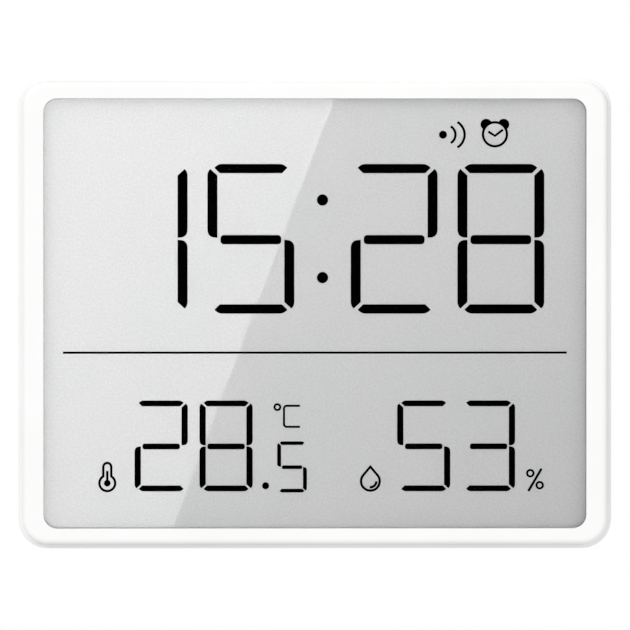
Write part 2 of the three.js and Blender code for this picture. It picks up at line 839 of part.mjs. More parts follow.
function percentSign() {
  const left = secondLeft + climateDigit.width + percentOffset;
  const right = left + percentWidth;
  const low = climateLow;
  const high = low + percentHeight;
  const radius = percentRing / 2;
  const middle = [(left + right) / 2, (low + high) / 2];
  const places = percentRings.map(([x, z]) => [left + x, low + z]);
  const rings = places.map(([x, z]) => flatMark(ring(x, z, radius, fineLine)));
  const traces = places.map(([x, z]) => {
    const share = (radius - fineLine / 2) / Math.hypot(middle[0] - x, middle[1] - z);
    return trace(x + share * (middle[0] - x), z + share * (middle[1] - z), ...middle);
  });
  return join(flatMark(bar(left, low, right, high, lineWidth)), rings, traces);
}
add('lcd_percent_sign', percentSign(), markBlack);

function thermometerIcon() {
  const foot = climateLow - thermometerSink;
  const bulbZ = foot + bulbRadius;
  const neck = foot + thermometerHeight - tubeRadius;
  const form = (inset) => join(
    slab(disc(thermometerX, bulbZ, bulbRadius - inset), markFront - inset, markBack + inset),
    slab(bar(thermometerX, bulbZ, thermometerX, neck, 2 * (tubeRadius - inset)),
      markFront - inset, markBack + inset),
    slab(disc(thermometerX, neck, tubeRadius - inset), markFront - inset, markBack + inset),
  );
  return join(
    cut(form(0), form(lineWidth)),
    flatMark(disc(thermometerX, bulbZ, mercuryRadius)),
    flatMark(bar(thermometerX, bulbZ, thermometerX, bulbZ + mercuryHeight, lineWidth)),
    trace(thermometerX, bulbZ, thermometerX, foot + lineWidth / 2),
  );
}
add('lcd_thermometer_icon', thermometerIcon(), markBlack);

function dropIcon() {
  const middle = climateLow - dropSink + dropRadius;
  const apex = dropHeight - dropRadius;
  const slope = Math.asin(dropRadius / apex);
  const outline = (radius, tip) => {
    const spread = Math.acos(radius / tip);
    const shape = new THREE.Shape();
    shape.absarc(dropX, middle, radius, Math.PI / 2 + spread, 2.5 * Math.PI - spread);
    shape.lineTo(dropX, middle + tip);
    return shape;
  };
  const inner = outline(dropRadius - lineWidth, apex - lineWidth / Math.sin(slope));
  const along = (reach) => [dropX + reach * Math.cos(glintHeading), middle + reach * Math.sin(glintHeading)];
  return join(
    cut(flatMark(outline(dropRadius, apex)), slab(inner, markFront - fit, markBack + fit, markSteps)),
    flatMark(arcBand(dropX, middle, glintRadius, lineWidth, glintAngle, glintHeading)),
    trace(...along(glintRadius), ...along(dropRadius - lineWidth / 2)),
  );
}
add('lcd_drop_icon', dropIcon(), markBlack);

const iconZ = windowHigh - iconTopMargin;
function alarmIcon() {
  const ringMiddle = alarmRadius - lineWidth / 2;
  const dial = slab(disc(alarmX, iconZ, ringMiddle), markFront - fit, markBack + fit);
  const bells = [-1, 1].map((sign) => cut(
    flatMark(disc(alarmX + sign * bellSpread, iconZ + bellRise, bellRadius)),
    dial,
  ));
  const foot = iconZ + handFoot;
  const hands = [handLeft, handRight].map(([x, z]) => flatMark(
    bar(alarmX, foot, alarmX + x, iconZ + z, lineWidth)));
  return join(
    flatMark(ring(alarmX, iconZ, alarmRadius, lineWidth)),
    bells,
    hands,
    flatMark(disc(alarmX, foot, lineWidth / 2)),
    trace(alarmX, foot, alarmX, iconZ - ringMiddle),
  );
}
add('lcd_alarm_icon', alarmIcon(), markBlack);

const soundZ = iconZ - soundSink;
add('lcd_sound_icon', join(
  flatMark(disc(soundX, soundZ, soundDot)),
  soundReach.map((reach, index) => flatMark(
    arcBand(soundX + reach - soundRadius[index], soundZ, soundRadius[index], lineWidth, soundAngle))),
  trace(soundX, soundZ, soundX + Math.max(...soundReach), soundZ),
), markBlack);

// Places of the posts, the board, the battery bay and the leg
const postX = halfWidth - postInsetX;
const posts = [
  [-postX, postInsetZ],
  [postX, postInsetZ],
  [-postX, faceHeight - postInsetZ],
  [postX, faceHeight - postInsetZ],
];
const bossEnd = plateBack + bossHeight;
const postEnd = bossEnd + fit;
const postFloorBack = postEnd + postFloor;
const screwSeat = postFloorBack + touch;

const boardLeft = -postX + postDiameter / 2 + boardPostGap;
const boardRight = boardLeft + boardWidth;
const boardHigh = frontGlassHigh;
const boardLow = boardHigh - boardHeight;
const boardScrews = [
  [boardLeft + boardScrewInset, boardHigh - boardScrewInset],
  [boardRight - boardScrewInset, boardHigh - boardScrewInset],
  [boardRight - boardScrewInset, boardLow + boardScrewInset],
];
const boardScrewSeat = boardBack + touch;
const buttonColumn = boardLeft + buttonX;
const buttons = count(buttonCount, (index) => boardHigh - buttonTopDrop - index * buttonPitch);
const buttonsMiddle = (buttons[0] + buttons[buttonCount - 1]) / 2;
const besideButtons = (buttonColumn + switchWidth / 2 + boardRight) / 2;
const buzzerX = boardRight - buzzerDiameter / 2 - boardEdge;
const buzzerZ = boardHigh - 2 * boardScrewInset - buzzerDiameter / 2;
const sensorZ = boardLow + sensorHeight / 2 + boardEdge;

const bayWidth = 2 * cellDiameter + cellSpacing + 2 * cellSideGap;
const bayLength = cellLength + springHeight + 2 * (contactThickness + touch) + 3 * contactGap;
const bayRight = halfWidth - caseWall - bayInset;
const bayLeft = bayRight - bayWidth;
const bayMiddle = (bayLeft + bayRight) / 2;
const bayLow = middleZ - bayLength / 2;
const bayHigh = middleZ + bayLength / 2;
const cellOffset = (cellDiameter + cellSpacing) / 2;
const cellColumns = [bayMiddle - cellOffset, bayMiddle + cellOffset];
const contactFront = cellAxis - contactHeight / 2;
const contactBack = cellAxis + contactHeight / 2;

const legX = legWidth / 2;
const legOuter = caseDepth - legInset;
const legInner = legOuter - legThickness;
const pocketFloor = legInner - fit;
const pivotY = (legInner + legOuter) / 2;
const pivotReach = legThickness / 2;
const pocketRoof = legPivot + pivotReach * (Math.cos(legOpen) + Math.sin(legOpen)) + touch;
const pocketX = legX + fit;
const lugX = pocketX + lugWidth;

// Tray that holds the display cell against the lens, with bosses for the board and the case screws.
function displayFrame() {
  const pocket = box(-glassX - glassFit, glassX + glassFit, 0, plateFront,
    glassLow - glassFit, frontGlassHigh + glassFit);
  const tray = cut(
    slab(lensOutline, lensBack + touch, plateBack),
    pocket,
    hookPlaces.map((place) => atHook(place, hookRoomOutline, hookWidth + 2 * fit)),
    box(zebraLeft - fit, zebraRight + fit, plateFront - fit, plateBack + fit,
      zebraLow - glassFit, frontGlassHigh + glassFit),
  );
  const caseBosses = posts.map(([x, z]) => roundY(x, z, bossDiameter, plateFront, bossEnd));
  const caseBores = posts.map(([x, z]) => roundY(
    x, z, caseScrew.shaft + 2 * pinFit, screwSeat - caseScrew.length - fit, bossEnd + fit));
  const boardBosses = boardScrews.map(([x, z]) => roundY(
    x, z, boardBossDiameter, plateFront, boardFront - touch));
  const boardBores = boardScrews.map(([x, z]) => roundY(
    x, z, boardScrew.shaft + 2 * pinFit, boardScrewSeat - boardScrew.length - pinFit, boardFront + fit));
  return cut(join(tray, caseBosses, boardBosses), caseBores, boardBores);
}

// Rubber strip that carries the signals from the ledge of the front glass to the board.
const zebraMiddle = (boardLeft + boardRight) / 2;
const zebraLeft = zebraMiddle - zebraLength / 2;
const zebraRight = zebraMiddle + zebraLength / 2;
const zebraLow = frontGlassHigh - glassFit - zebraThickness;
add('zebra_strip', box(zebraLeft, zebraRight, frontGlassBack + touch, boardFront - touch,
  zebraLow, zebraLow + zebraThickness), zebraRubber);
add('display_frame', displayFrame(), innerPlastic);

// Main board and its parts
function mainBoard() {
  return cut(
    box(boardLeft, boardRight, boardFront, boardBack, boardLow, boardHigh),
    boardScrews.map(([x, z]) => roundY(
      x, z, boardScrew.shaft + 2 * runningFit, boardFront - fit, boardBack + fit)),
  );
}
add('main_board', mainBoard(), boardGreen);

const blobDome = count(domeSteps + 1, (index) => {
  const angle = index / domeSteps * Math.PI / 2;
  return [Math.cos(angle) * blobDiameter / 2, Math.sin(angle) * blobHeight];
});
blobDome[domeSteps][0] = 0;
const blob = turned([[0, 0], ...blobDome], smallSides);
blob.translate(besideButtons, onBoard, buttons[1]);
add('controller_blob', solid(blob), resinBlack);

const crystalRadius = crystalDiameter / 2;
const crystal = new THREE.CylinderGeometry(crystalRadius, crystalRadius, crystalLength, smallSides);
crystal.rotateX(Math.PI / 2);
crystal.translate(besideButtons, onBoard + crystalRadius, buttons[2]);
add('clock_crystal', crystal, steel);

add('buzzer', cut(
  roundY(buzzerX, buzzerZ, buzzerDiameter, onBoard, onBoard + buzzerHeight, bigSides),
  roundY(buzzerX, buzzerZ, buzzerHole, onBoard + buzzerHeight / 2, onBoard + buzzerHeight + fit),
), resinBlack);

function climateSensor() {
  const body = box(buttonColumn - sensorWidth / 2, buttonColumn + sensorWidth / 2,
    onBoard, onBoard + sensorDepth, sensorZ - sensorHeight / 2, sensorZ + sensorHeight / 2);
  const slots = count(sensorSlots, (index) => {
    const z = sensorZ + (index - (sensorSlots - 1) / 2) * sensorSlotPitch;
    return box(buttonColumn - sensorSlotLength / 2, buttonColumn + sensorSlotLength / 2,
      onBoard + sensorDepth - sensorBay, onBoard + sensorDepth + fit,
      z - sensorSlotPitch / 4, z + sensorSlotPitch / 4);
  });
  return cut(body, slots);
}
add('climate_sensor', climateSensor(), sensorWhite);

// Key switches, plungers and caps, in a column on the back
const switchTop = onBoard + switchHeight;
const plungerTop = switchTop + plungerRise;
const plungerFoot = switchTop - plungerSunk;
const switchBore = plungerFoot - buttonTravel - fit;
const capBack = caseDepth - capRecess;
const padInner = backInner - panelDepth;
const flangeBack = padInner - fit;
const flangeFront = flangeBack - flangeThickness;
const capProfile = [
  [0, plungerTop + touch],
  [stemDiameter / 2, plungerTop + touch],
  [stemDiameter / 2, flangeFront],
  [(capDiameter + capFlange) / 2, flangeFront],
  [(capDiameter + capFlange) / 2, flangeBack],
  [capDiameter / 2, flangeBack],
  [capDiameter / 2, capBack - capCrown],
  [capDiameter / 2 - capCrown, capBack - capCrown / 4],
  [0, capBack],
];
buttons.forEach((z, index) => {
  const number = index + 1;
  const half = switchWidth / 2;
  add(`key_switch_${number}`, cut(
    box(buttonColumn - half, buttonColumn + half, onBoard, switchTop, z - half, z + half),
    roundY(buttonColumn, z, plungerDiameter + 2 * runningFit, switchBore, switchTop + fit),
  ), steel);
  add(`switch_plunger_${number}`,
    roundY(buttonColumn, z, plungerDiameter, plungerFoot, plungerTop), resinBlack);
  const cap = turned(capProfile, bigSides);
  cap.translate(buttonColumn, 0, z);
  add(`button_cap_${number}`, solid(cap), greyCap);
});

// Rear case: a deep shell with the battery bay, the leg's pocket, the hanging slot and the posts.
function panelOutline(margin) {
  const half = panelWidth / 2 + margin;
  const reach = buttonPitch * (buttonCount - 1) / 2 + half;
  return roundedRectangle(buttonColumn - half, buttonColumn + half,
    buttonsMiddle - reach, buttonsMiddle + reach, half);
}

const doorLeft = bayLeft - doorLedge;
const doorRight = bayRight + doorLedge;
const doorLow = bayLow - doorLedge;
const doorHigh = bayHigh + doorLedge;
const doorTabs = [doorLeft + doorTabInset, doorRight - doorTabInset - doorTabWidth];
const doorTabBack = backInner - runningFit;
const doorTabFront = doorTabBack - doorTabThickness;
const keyholeZ = faceHeight - keyholeDrop;

function rearCase() {
  const outline = roundedRectangle(-halfWidth, halfWidth, 0, faceHeight, cornerRadius);
  const inside = roundedRectangle(-halfWidth + caseWall, halfWidth - caseWall,
    caseWall, faceHeight - caseWall, cornerRadius - caseWall);
  const outer = filletedSlab(outline, bezelDepth + touch, caseDepth, backFillet, true)
    .intersect(filletedSlab(outline, bezelDepth + touch, caseDepth, rimFillet, false));
  const shell = cut(outer, slab(inside, 0, backInner));
  const intoWall = backInner + backWall / 4;
  const keyholeX = keyholeEntry / 2 + keyholeMargin;
  const keyholeLow = keyholeZ - keyholeX;
  const keyholeHigh = keyholeZ + keyholeRise + keyholeX;
  const keyholeInner = backInner - keyholeDepth;

  const inner = [
    posts.map(([x, z]) => roundY(x, z, postDiameter, postEnd, intoWall)),
    box(bayLeft - bayWall, bayRight + bayWall, bayFloorFront, intoWall, bayLow - bayWall, bayHigh + bayWall),
    box(-pocketX - pocketWall, pocketX + pocketWall, pocketFloor - pocketWall, intoWall,
      caseWall / 2, pocketRoof + pocketWall),
    box(-lugX, lugX, pocketFloor - pocketWall, intoWall, legPivot - lugReach, legPivot + lugReach),
    box(-keyholeX - pocketWall, keyholeX + pocketWall, keyholeInner - pocketWall, intoWall,
      keyholeLow - pocketWall, keyholeHigh + pocketWall),
    slab(panelOutline(panelMargin), padInner, intoWall),
  ].flat();

  const open = caseDepth + fit;
  const postBores = posts.flatMap(([x, z]) => [
    roundY(x, z, caseScrew.head + 2 * runningFit, postFloorBack, open),
    roundY(x, z, caseScrew.shaft + 2 * runningFit, postEnd - fit, open),
  ]);
  const bay = [
    box(bayLeft, bayRight, bayFloorBack, open, bayLow, bayHigh),
    slab(roundedRectangle(doorLeft - doorFit, doorRight + doorFit, doorLow - doorFit, doorHigh + doorFit,
      doorRadius + doorFit), backInner, open),
    doorTabs.map((x) => box(x - fit, x + doorTabWidth + fit, doorTabFront - doorTabReach, backInner,
      bayLow - bayWall - fit, bayLow + fit)),
    cellColumns.map((x) => box(x - tabWidth / 2 - fit, x + tabWidth / 2 + fit,
      contactFront - fit, contactFront + contactThickness + fit, bayHigh - fit, bayHigh + bayWall + fit)),
    roundY(bayMiddle, doorHigh, 2 * scoopRadius, caseDepth - scoopDepth, open, bigSides),
  ].flat();
  const leg = [
    box(-pocketX, pocketX, pocketFloor, open, -fit, pocketRoof),
    roundX(pivotY, legPivot, pinDiameter + 2 * pinFit, -lugX - fit, lugX + fit),
  ];
  const hanging = [
    box(-keyholeX, keyholeX, keyholeInner, backInner, keyholeLow, keyholeHigh),
    roundY(0, keyholeZ, keyholeEntry, keyholeInner, open, bigSides),
    slab(roundedRectangle(-keyholeSlot / 2, keyholeSlot / 2, keyholeZ,
      keyholeZ + keyholeRise + keyholeSlot / 2, keyholeSlot / 2 - touch), keyholeInner, open),
  ];
  const panel = [
    slab(panelOutline(0), caseDepth - panelDepth, open),
    buttons.map((z) => roundY(buttonColumn, z, capDiameter + 2 * runningFit, padInner - fit, open, bigSides)),
  ].flat();
  const vents = count(ventCount, (index) => {
    const z = sensorZ + (index - (ventCount - 1) / 2) * ventPitch;
    const half = ventLength / 2;
    return slab(roundedRectangle(buttonColumn - half, buttonColumn + half,
      z - ventWidth / 2, z + ventWidth / 2, ventWidth / 2 - touch), backInner - fit, open, slotSteps);
  });
  const soundHoles = count(soundHoleCount + 1, (index) => {
    const angle = 2 * Math.PI * index / soundHoleCount;
    const reach = index < soundHoleCount ? soundHoleRing : 0;
    return roundY(buzzerX + reach * Math.cos(angle), buzzerZ + reach * Math.sin(angle),
      soundHoleDiameter, backInner - fit, open, tinySides);
  });
  const pockets = hookPlaces.map((place) => atHook(place, barbPocketOutline, hookWidth + 2 * fit));
  const whole = join(shell, inner).intersect(outer);
  return cut(whole, postBores, bay, leg, hanging, panel, vents, soundHoles, pockets);
}
add('rear_case', rearCase(), whitePlastic);

// Battery door: it tilts out on two tabs that sit under the lower edge of its opening.
function batteryDoor() {
  const outline = roundedRectangle(doorLeft, doorRight, doorLow, doorHigh, doorRadius);
  const plate = slab(outline, backInner + touch, caseDepth);
  const tabs = doorTabs.flatMap((x) => [
    box(x, x + doorTabWidth, doorTabFront, doorTabBack, doorLow - doorTabReach, bayLow + doorTabRoot),
    box(x, x + doorTabWidth, doorTabFront, backInner + backWall / 2, bayLow + fit, bayLow + doorTabRoot),
  ]);
  const grips = count(gripCount, (index) => {
    const z = doorHigh - scoopRadius - index * gripPitch;
    return box(bayMiddle - gripWidth / 2, bayMiddle + gripWidth / 2, caseDepth - gripDepth, caseDepth + fit,
      z - gripPitch / 4, z + gripPitch / 4);
  });
  return cut(join(plate, tabs), grips);
}
add('battery_door', batteryDoor(), whitePlastic);

// Cells: the left one stands with its nub up, the right one with its nub down.
const cellFoot = bayLow + touch + contactThickness + contactGap;
const cellBody = cellLength - nubLength;
const cellProfile = [
  [0, 0],
  [cellDiameter / 2 - cellEdge, 0],
  [cellDiameter / 2, cellEdge],
  [cellDiameter / 2, cellBody - cellEdge],
  [cellDiameter / 2 - cellEdge, cellBody],
  [nubDiameter / 2, cellBody],
  [nubDiameter / 2, cellLength],
  [0, cellLength],
];
function cell(upright) {
  const geometry = turned(cellProfile, bigSides);
  geometry.rotateX(upright ? Math.PI / 2 : -Math.PI / 2);
  const foot = upright ? cellFoot + springHeight + contactGap : cellFoot + cellLength;
  geometry.translate(cellColumns[upright ? 0 : 1], cellAxis, foot);
  return solid(geometry);
}
add('battery_1', cell(true), cellJacket);
add('battery_2', cell(false), cellJacket);

// Contacts: two plates with solder tabs at the top, a bridge at the bottom, and two springs.
function tabbedPlate(x) {
  const top = bayHigh - touch;
  return join(
    box(x - contactWidth / 2, x + contactWidth / 2, contactFront, contactBack, top - contactThickness, top),
    box(x - tabWidth / 2, x + tabWidth / 2, contactFront, contactFront + contactThickness,
      top - contactThickness, bayHigh + bayWall + tabRise),
  );
}
add('positive_terminal', tabbedPlate(cellColumns[0]), nickel);
add('negative_terminal', tabbedPlate(cellColumns[1]), nickel);
add('bridge_plate', box(cellColumns[0] - contactWidth / 2, cellColumns[1] + contactWidth / 2,
  contactFront, contactBack, bayLow + touch, bayLow + touch + contactThickness), nickel);

// A conical coil along Z, with its ends running straight for one wire diameter.
function springPath(x, foot, top) {
  const rise = Math.sign(top - foot);
  const points = [new THREE.Vector3(x + springBase / 2, cellAxis, foot)];
  const stepCount = springTurns * springSteps;
  const low = foot + rise * springWire;
  const high = top - rise * springWire;
  for (let step = 0; step <= stepCount; step += 1) {
    const share = step / stepCount;
    const angle = 2 * Math.PI * springTurns * share;
    const radius = THREE.MathUtils.lerp(springBase, springTip, share) / 2;
    points.push(new THREE.Vector3(
      x + radius * Math.cos(angle),
      cellAxis + radius * Math.sin(angle),
      THREE.MathUtils.lerp(low, high, share),
    ));
  }
  points.push(new THREE.Vector3(x + springTip / 2, cellAxis, top));
  return new THREE.CatmullRomCurve3(points);
}

// Least free gap between points of a coil that lie at least three quarters of a turn apart.
function leastGap(path) {
  const points = path.getSpacedPoints(springTurns * gapSteps);
  const apart = gapSteps * 3 / 4;
  let least = Infinity;
  points.forEach((p, index) => points.slice(index + apart).forEach((q) => {
    least = Math.min(least, p.distanceTo(q));
  }));
  return least - springWire;
}

function contactSpring(name, x, foot, top) {
  const path = springPath(x, foot, top);
  console.log(`${name}: least gap to itself ${leastGap(path).toFixed(2)} mm`);
  add(name, tube(path, springWire, springSides, springTurns * springSteps + 2), steel);
}
const bridgeSpringFoot = cellFoot - contactGap + pinFit;
contactSpring('bridge_spring', cellColumns[0], bridgeSpringFoot, bridgeSpringFoot + springHeight);
const negativeSpringFoot = bayHigh - touch - contactThickness - pinFit;
contactSpring('negative_spring', cellColumns[1], negativeSpringFoot, negativeSpringFoot - springHeight);

// Leads from the solder tabs to the board
const leadY = contactFront + contactThickness / 2;
const leadEnd = onBoard + leadDiameter / 2 + fit;
const tabMiddle = bayHigh + bayWall + tabRise / 2;
const tabTop = bayHigh + bayWall + tabRise;
const leadPad = boardRight - 2 * leadDiameter;
const leadMiddle = (boardRight + bayLeft) / 2;
const redZ = legPivot + lugReach + leadRise;
const blackZ = redZ + 2 * leadDiameter;
function lead(points) {
  const path = new THREE.CatmullRomCurve3(points.map((point) => new THREE.Vector3(...point)));
  return tube(path, leadDiameter, leadSides, leadSteps);
}
const redStart = cellColumns[0] - tabWidth / 2 - fit;
add('red_lead', lead([
  [redStart, leadY, tabMiddle],
  [redStart - leadStraight, leadY, tabMiddle],
  [leadMiddle, leadY, (tabMiddle + redZ) / 2],
  [boardRight + 2 * leadStraight, leadEnd, redZ],
  [boardRight, leadEnd, redZ],
  [leadPad, leadEnd, redZ],
]), redJacket);
const blackStart = cellColumns[1] - tabWidth / 2 - fit;
const overTab = tabTop + leadDiameter;
add('black_lead', lead([
  [blackStart, leadY, tabMiddle],
  [blackStart - 2 * leadDiameter, leadY, tabMiddle],
  [cellColumns[0] + tabWidth / 2, leadY, overTab],
  [cellColumns[0] - tabWidth, leadY, overTab],
  [leadMiddle, leadY, (overTab + blackZ) / 2],
  [boardRight + 2 * leadStraight, leadEnd, blackZ],
  [boardRight, leadEnd, blackZ],
  [leadPad, leadEnd, blackZ],
]), blackJacket);

// Kickstand: a flat leg whose square outer corner meets the roof of its pocket when it is open.
function kickstand() {
  const profile = new THREE.Shape();
  profile.moveTo(legInner, legFootGap);
  profile.lineTo(legOuter - legFootRadius, legFootGap);
  profile.quadraticCurveTo(legOuter, legFootGap, legOuter, legFootGap + legFootRadius);
  profile.lineTo(legOuter, legPivot + pivotReach);
  profile.lineTo(pivotY, legPivot + pivotReach);
  profile.absarc(pivotY, legPivot, pivotReach, Math.PI / 2, Math.PI);
  const outline = roundedRectangle(-legX, legX, legFootGap, legPivot + pivotReach + 2 * legRadius, legRadius);
  const plate = sweepX(profile, -legX, legX).intersect(slab(outline, legInner - fit, legOuter + fit));
  return cut(
    plate,
    roundX(pivotY, legPivot, pinDiameter + 2 * runningFit, -legX - fit, legX + fit),
    roundX(legOuter + thumbRadius - thumbDepth, legFootGap + thumbRise, 2 * thumbRadius,
      -thumbWidth / 2, thumbWidth / 2, 2 * bigSides),
  );
}
add('kickstand', kickstand(), whitePlastic);
add('kickstand_pin', roundX(pivotY, legPivot, pinDiameter, -lugX, lugX), steel);

// Screws: a pan head with a driver slot, and a plain shaft.
function screw([x, z], seat, size) {
  const head = roundY(x, z, size.head, seat, seat + size.headHeight);
  const shaft = roundY(x, z, size.shaft, seat - size.length, seat + size.headHeight / 2);
  const top = seat + size.headHeight;
  const half = size.slot / 2;
  const slotHalf = driverSlotWidth / 2;
  return cut(
    join(head, shaft),
    box(x - half, x + half, top - driverSlotDepth, top + fit, z - slotHalf, z + slotHalf),
    box(x - slotHalf, x + slotHalf, top - driverSlotDepth, top + fit, z - half, z + half),
  );
}
posts.forEach((place, index) => add(`case_screw_${index + 1}`, screw(place, screwSeat, caseScrew), steel));
boardScrews.forEach((place, index) => add(
  `board_screw_${index + 1}`, screw(place, boardScrewSeat, boardScrew), steel));

clock.position.y = -caseDepth / 2;

export default clock;
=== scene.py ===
# %% [markdown]
# A digital clock, dressed in Blender
#
# The clock is a slim white case with one large reflective display. Its construction is already settled: a
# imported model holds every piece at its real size, and this lesson only gives the pieces their finished
# surfaces.

# %% Load the frame
import json

import bmesh
import bpy
import numpy as np
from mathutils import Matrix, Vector

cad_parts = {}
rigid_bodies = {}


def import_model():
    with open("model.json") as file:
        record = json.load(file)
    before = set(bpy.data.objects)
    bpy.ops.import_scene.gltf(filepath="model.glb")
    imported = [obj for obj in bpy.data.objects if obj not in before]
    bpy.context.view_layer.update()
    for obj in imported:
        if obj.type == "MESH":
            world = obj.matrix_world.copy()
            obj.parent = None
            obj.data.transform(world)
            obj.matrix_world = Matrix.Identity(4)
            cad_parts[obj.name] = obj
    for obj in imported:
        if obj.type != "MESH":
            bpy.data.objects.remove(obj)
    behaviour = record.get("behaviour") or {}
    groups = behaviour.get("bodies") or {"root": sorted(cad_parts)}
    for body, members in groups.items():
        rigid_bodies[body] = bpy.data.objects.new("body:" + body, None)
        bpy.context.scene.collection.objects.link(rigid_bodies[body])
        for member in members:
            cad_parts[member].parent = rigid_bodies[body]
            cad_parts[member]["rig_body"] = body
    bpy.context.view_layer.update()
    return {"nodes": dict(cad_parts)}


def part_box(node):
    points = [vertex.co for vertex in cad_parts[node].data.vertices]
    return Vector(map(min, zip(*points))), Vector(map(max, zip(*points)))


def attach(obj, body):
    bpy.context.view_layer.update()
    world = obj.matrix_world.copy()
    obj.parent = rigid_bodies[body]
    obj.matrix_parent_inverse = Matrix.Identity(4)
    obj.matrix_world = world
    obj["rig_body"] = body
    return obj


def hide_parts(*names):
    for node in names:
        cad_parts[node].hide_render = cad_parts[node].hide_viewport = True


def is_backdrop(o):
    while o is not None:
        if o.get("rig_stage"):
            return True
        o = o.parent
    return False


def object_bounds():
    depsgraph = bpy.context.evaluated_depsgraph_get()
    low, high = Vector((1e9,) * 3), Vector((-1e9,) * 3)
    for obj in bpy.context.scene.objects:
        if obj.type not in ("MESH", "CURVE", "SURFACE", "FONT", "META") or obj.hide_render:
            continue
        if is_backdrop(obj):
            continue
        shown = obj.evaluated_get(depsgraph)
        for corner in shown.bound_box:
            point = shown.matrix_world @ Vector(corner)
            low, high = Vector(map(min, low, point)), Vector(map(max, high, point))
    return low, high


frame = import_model()
MM = 0.001

# %% [markdown]
# The camera
#
# The clock is seen almost straight on, with hardly any perspective, as through a long lens from about
# two metres away. A camera without perspective would come close, but a real lens draws the near bezel a
# little larger than the rim behind it. The eye stands a few centimetres to the upper left: the window's
# edge shows a dark line on the right and below only. A camera in Blender looks down its own -Z axis, so
# it is turned until that axis meets the middle of the picture. Its distance follows from the width of
# the picture near the rim of the case: lens over sensor times that width.

# %% Camera
PICTURE_WIDTH = 133.87 * MM
RIM_DEPTH = -6.6 * MM
LENS, SENSOR = 600, 36
CENTRE_X, CENTRE_Z = 0.02 * MM, 49.55 * MM
EYE_SIDE, EYE_UP = -34 * MM, 28 * MM
FAR_END = 20


def new_object(name, data):
    """An object at the origin that shows the given data, linked into the scene."""
    thing = bpy.data.objects.new(name, data)
    bpy.context.scene.collection.objects.link(thing)
    return thing


camera = new_object("camera", bpy.data.cameras.new("camera"))
camera.data.lens, camera.data.sensor_width, camera.data.clip_end = LENS, SENSOR, FAR_END
camera_distance = PICTURE_WIDTH * LENS / SENSOR
aim = Vector((CENTRE_X, RIM_DEPTH, CENTRE_Z))
camera.location = aim + Vector((EYE_SIDE, -camera_distance, EYE_UP))
camera.rotation_euler = (aim - camera.location).to_track_quat("-Z", "Y").to_euler()
bpy.context.scene.camera = camera
print("camera stands", round(camera_distance, 3), "m in front of the rim")

# %% [markdown]
# Light
#
# A studio for a white product is soft everywhere, so that no edge of the case throws a hard shadow. The
# world gives this even part. A picture of a real studio could light the scene too, but one even tone is
# easier to balance against the lamps. Camera, glossy and transmission rays see the world as plain white,
# which makes the background, and all other rays see it dimmer.

# %% World
AMBIENT = 0.72
WHITE = (1, 1, 1, 1)
bpy.context.scene.view_settings.view_transform = "Standard"


def join(tree, *pairs):
    """Links (node, output) to (node, input) for each pair in turn."""
    for (start, output), (end, target) in pairs:
        tree.links.new(start.outputs[output], end.inputs[target])


def seen_directly(tree):
    """A Math node that is 1 for camera, glossy and transmission rays and 0 for all others."""
    path = tree.nodes.new("ShaderNodeLightPath")
    first, both = tree.nodes.new("ShaderNodeMath"), tree.nodes.new("ShaderNodeMath")
    first.operation = both.operation = "MAXIMUM"
    join(tree, ((path, "Is Camera Ray"), (first, 0)), ((path, "Is Glossy Ray"), (first, 1)),
         ((first, 0), (both, 0)), ((path, "Is Transmission Ray"), (both, 1)))
    return both


world = bpy.data.worlds.new("studio")
bpy.context.scene.world = world
world.use_nodes = True
tree = world.node_tree
even_light, white_view = tree.nodes["Background"], tree.nodes.new("ShaderNodeBackground")
even_light.inputs["Color"].default_value = white_view.inputs["Color"].default_value = WHITE
even_light.inputs["Strength"].default_value = AMBIENT
choice = tree.nodes.new("ShaderNodeMixShader")
join(tree, ((seen_directly(tree), 0), (choice, 0)), ((even_light, 0), (choice, 1)),
     ((white_view, 0), (choice, 2)), ((choice, 0), (tree.nodes["World Output"], 0)))
print("world:", world.name, "with an even light of", AMBIENT)


# %% [markdown]
# Lamps
#
# The light is a little stronger from above and from the left, so that the right and the lower edges of
# the case fall into a gentle shade. A large lamp in front at the upper left is the key, a weaker one at
# the right opens the shade, and a third, above and behind, lights the top and the back. Spot lamps would
# do, but square area lamps have the soft shadows of a softbox.

# %% Lamps
def lamp(name, place, size, power):
    """A square soft lamp at a place, aimed at the clock's middle, unseen by the camera and in mirrors."""
    light = bpy.data.lights.new(name, "AREA")
    light.shape, light.size, light.energy = "SQUARE", size, power
    thing = new_object(name, light)
    thing.location = place
    towards = Vector((0, 0, CENTRE_Z)) - Vector(place)
    thing.rotation_euler = towards.to_track_quat("-Z", "Y").to_euler()
    thing.visible_camera = thing.visible_glossy = False
    print(f"{name}: {power} W, {size} m wide")


lamp("key_lamp", place=(-0.95, -1.5, 1.0), size=1.0, power=15.5)
lamp("fill_lamp", place=(1.1, -1.5, 0.3), size=0.8, power=5.5)
lamp("back_lamp", place=(-0.2, 0.9, 1.5), size=0.7, power=5)

# %% [markdown]
# Floor
#
# The floor is a wide pale sheet. Under the clock and behind it, where the key lamp throws the shadow, it is
# an ordinary matt surface. Further out it turns into plain white for the rays that see it directly, so no
# horizon shows behind the clock. All other rays meet an even glow about as strong as the studio's, so the
# clock's shadow doesn't darken its lower edge. Mirrors look past the floor at the white studio, which keeps
# the display free of a bright floor line.

# %% Floor
FLOOR_SIZE = 8.0
FLOOR_TONE = (0.93, 0.93, 0.93, 1)
SHADOW_MIDDLE = (0, 40 * MM, 0)
SHADOW_HALF = (64 * MM, 52 * MM, 1)
SHADOW_FADE = (0.6, 1.0)
FLOOR_GLOW = 0.04
FLOOR_LIGHT = 0.78


def new_material(name):
    """A material with a node tree, and its Principled shader."""
    material = bpy.data.materials.new(name)
    material.use_nodes = True
    return material, material.node_tree, material.node_tree.nodes["Principled BSDF"]


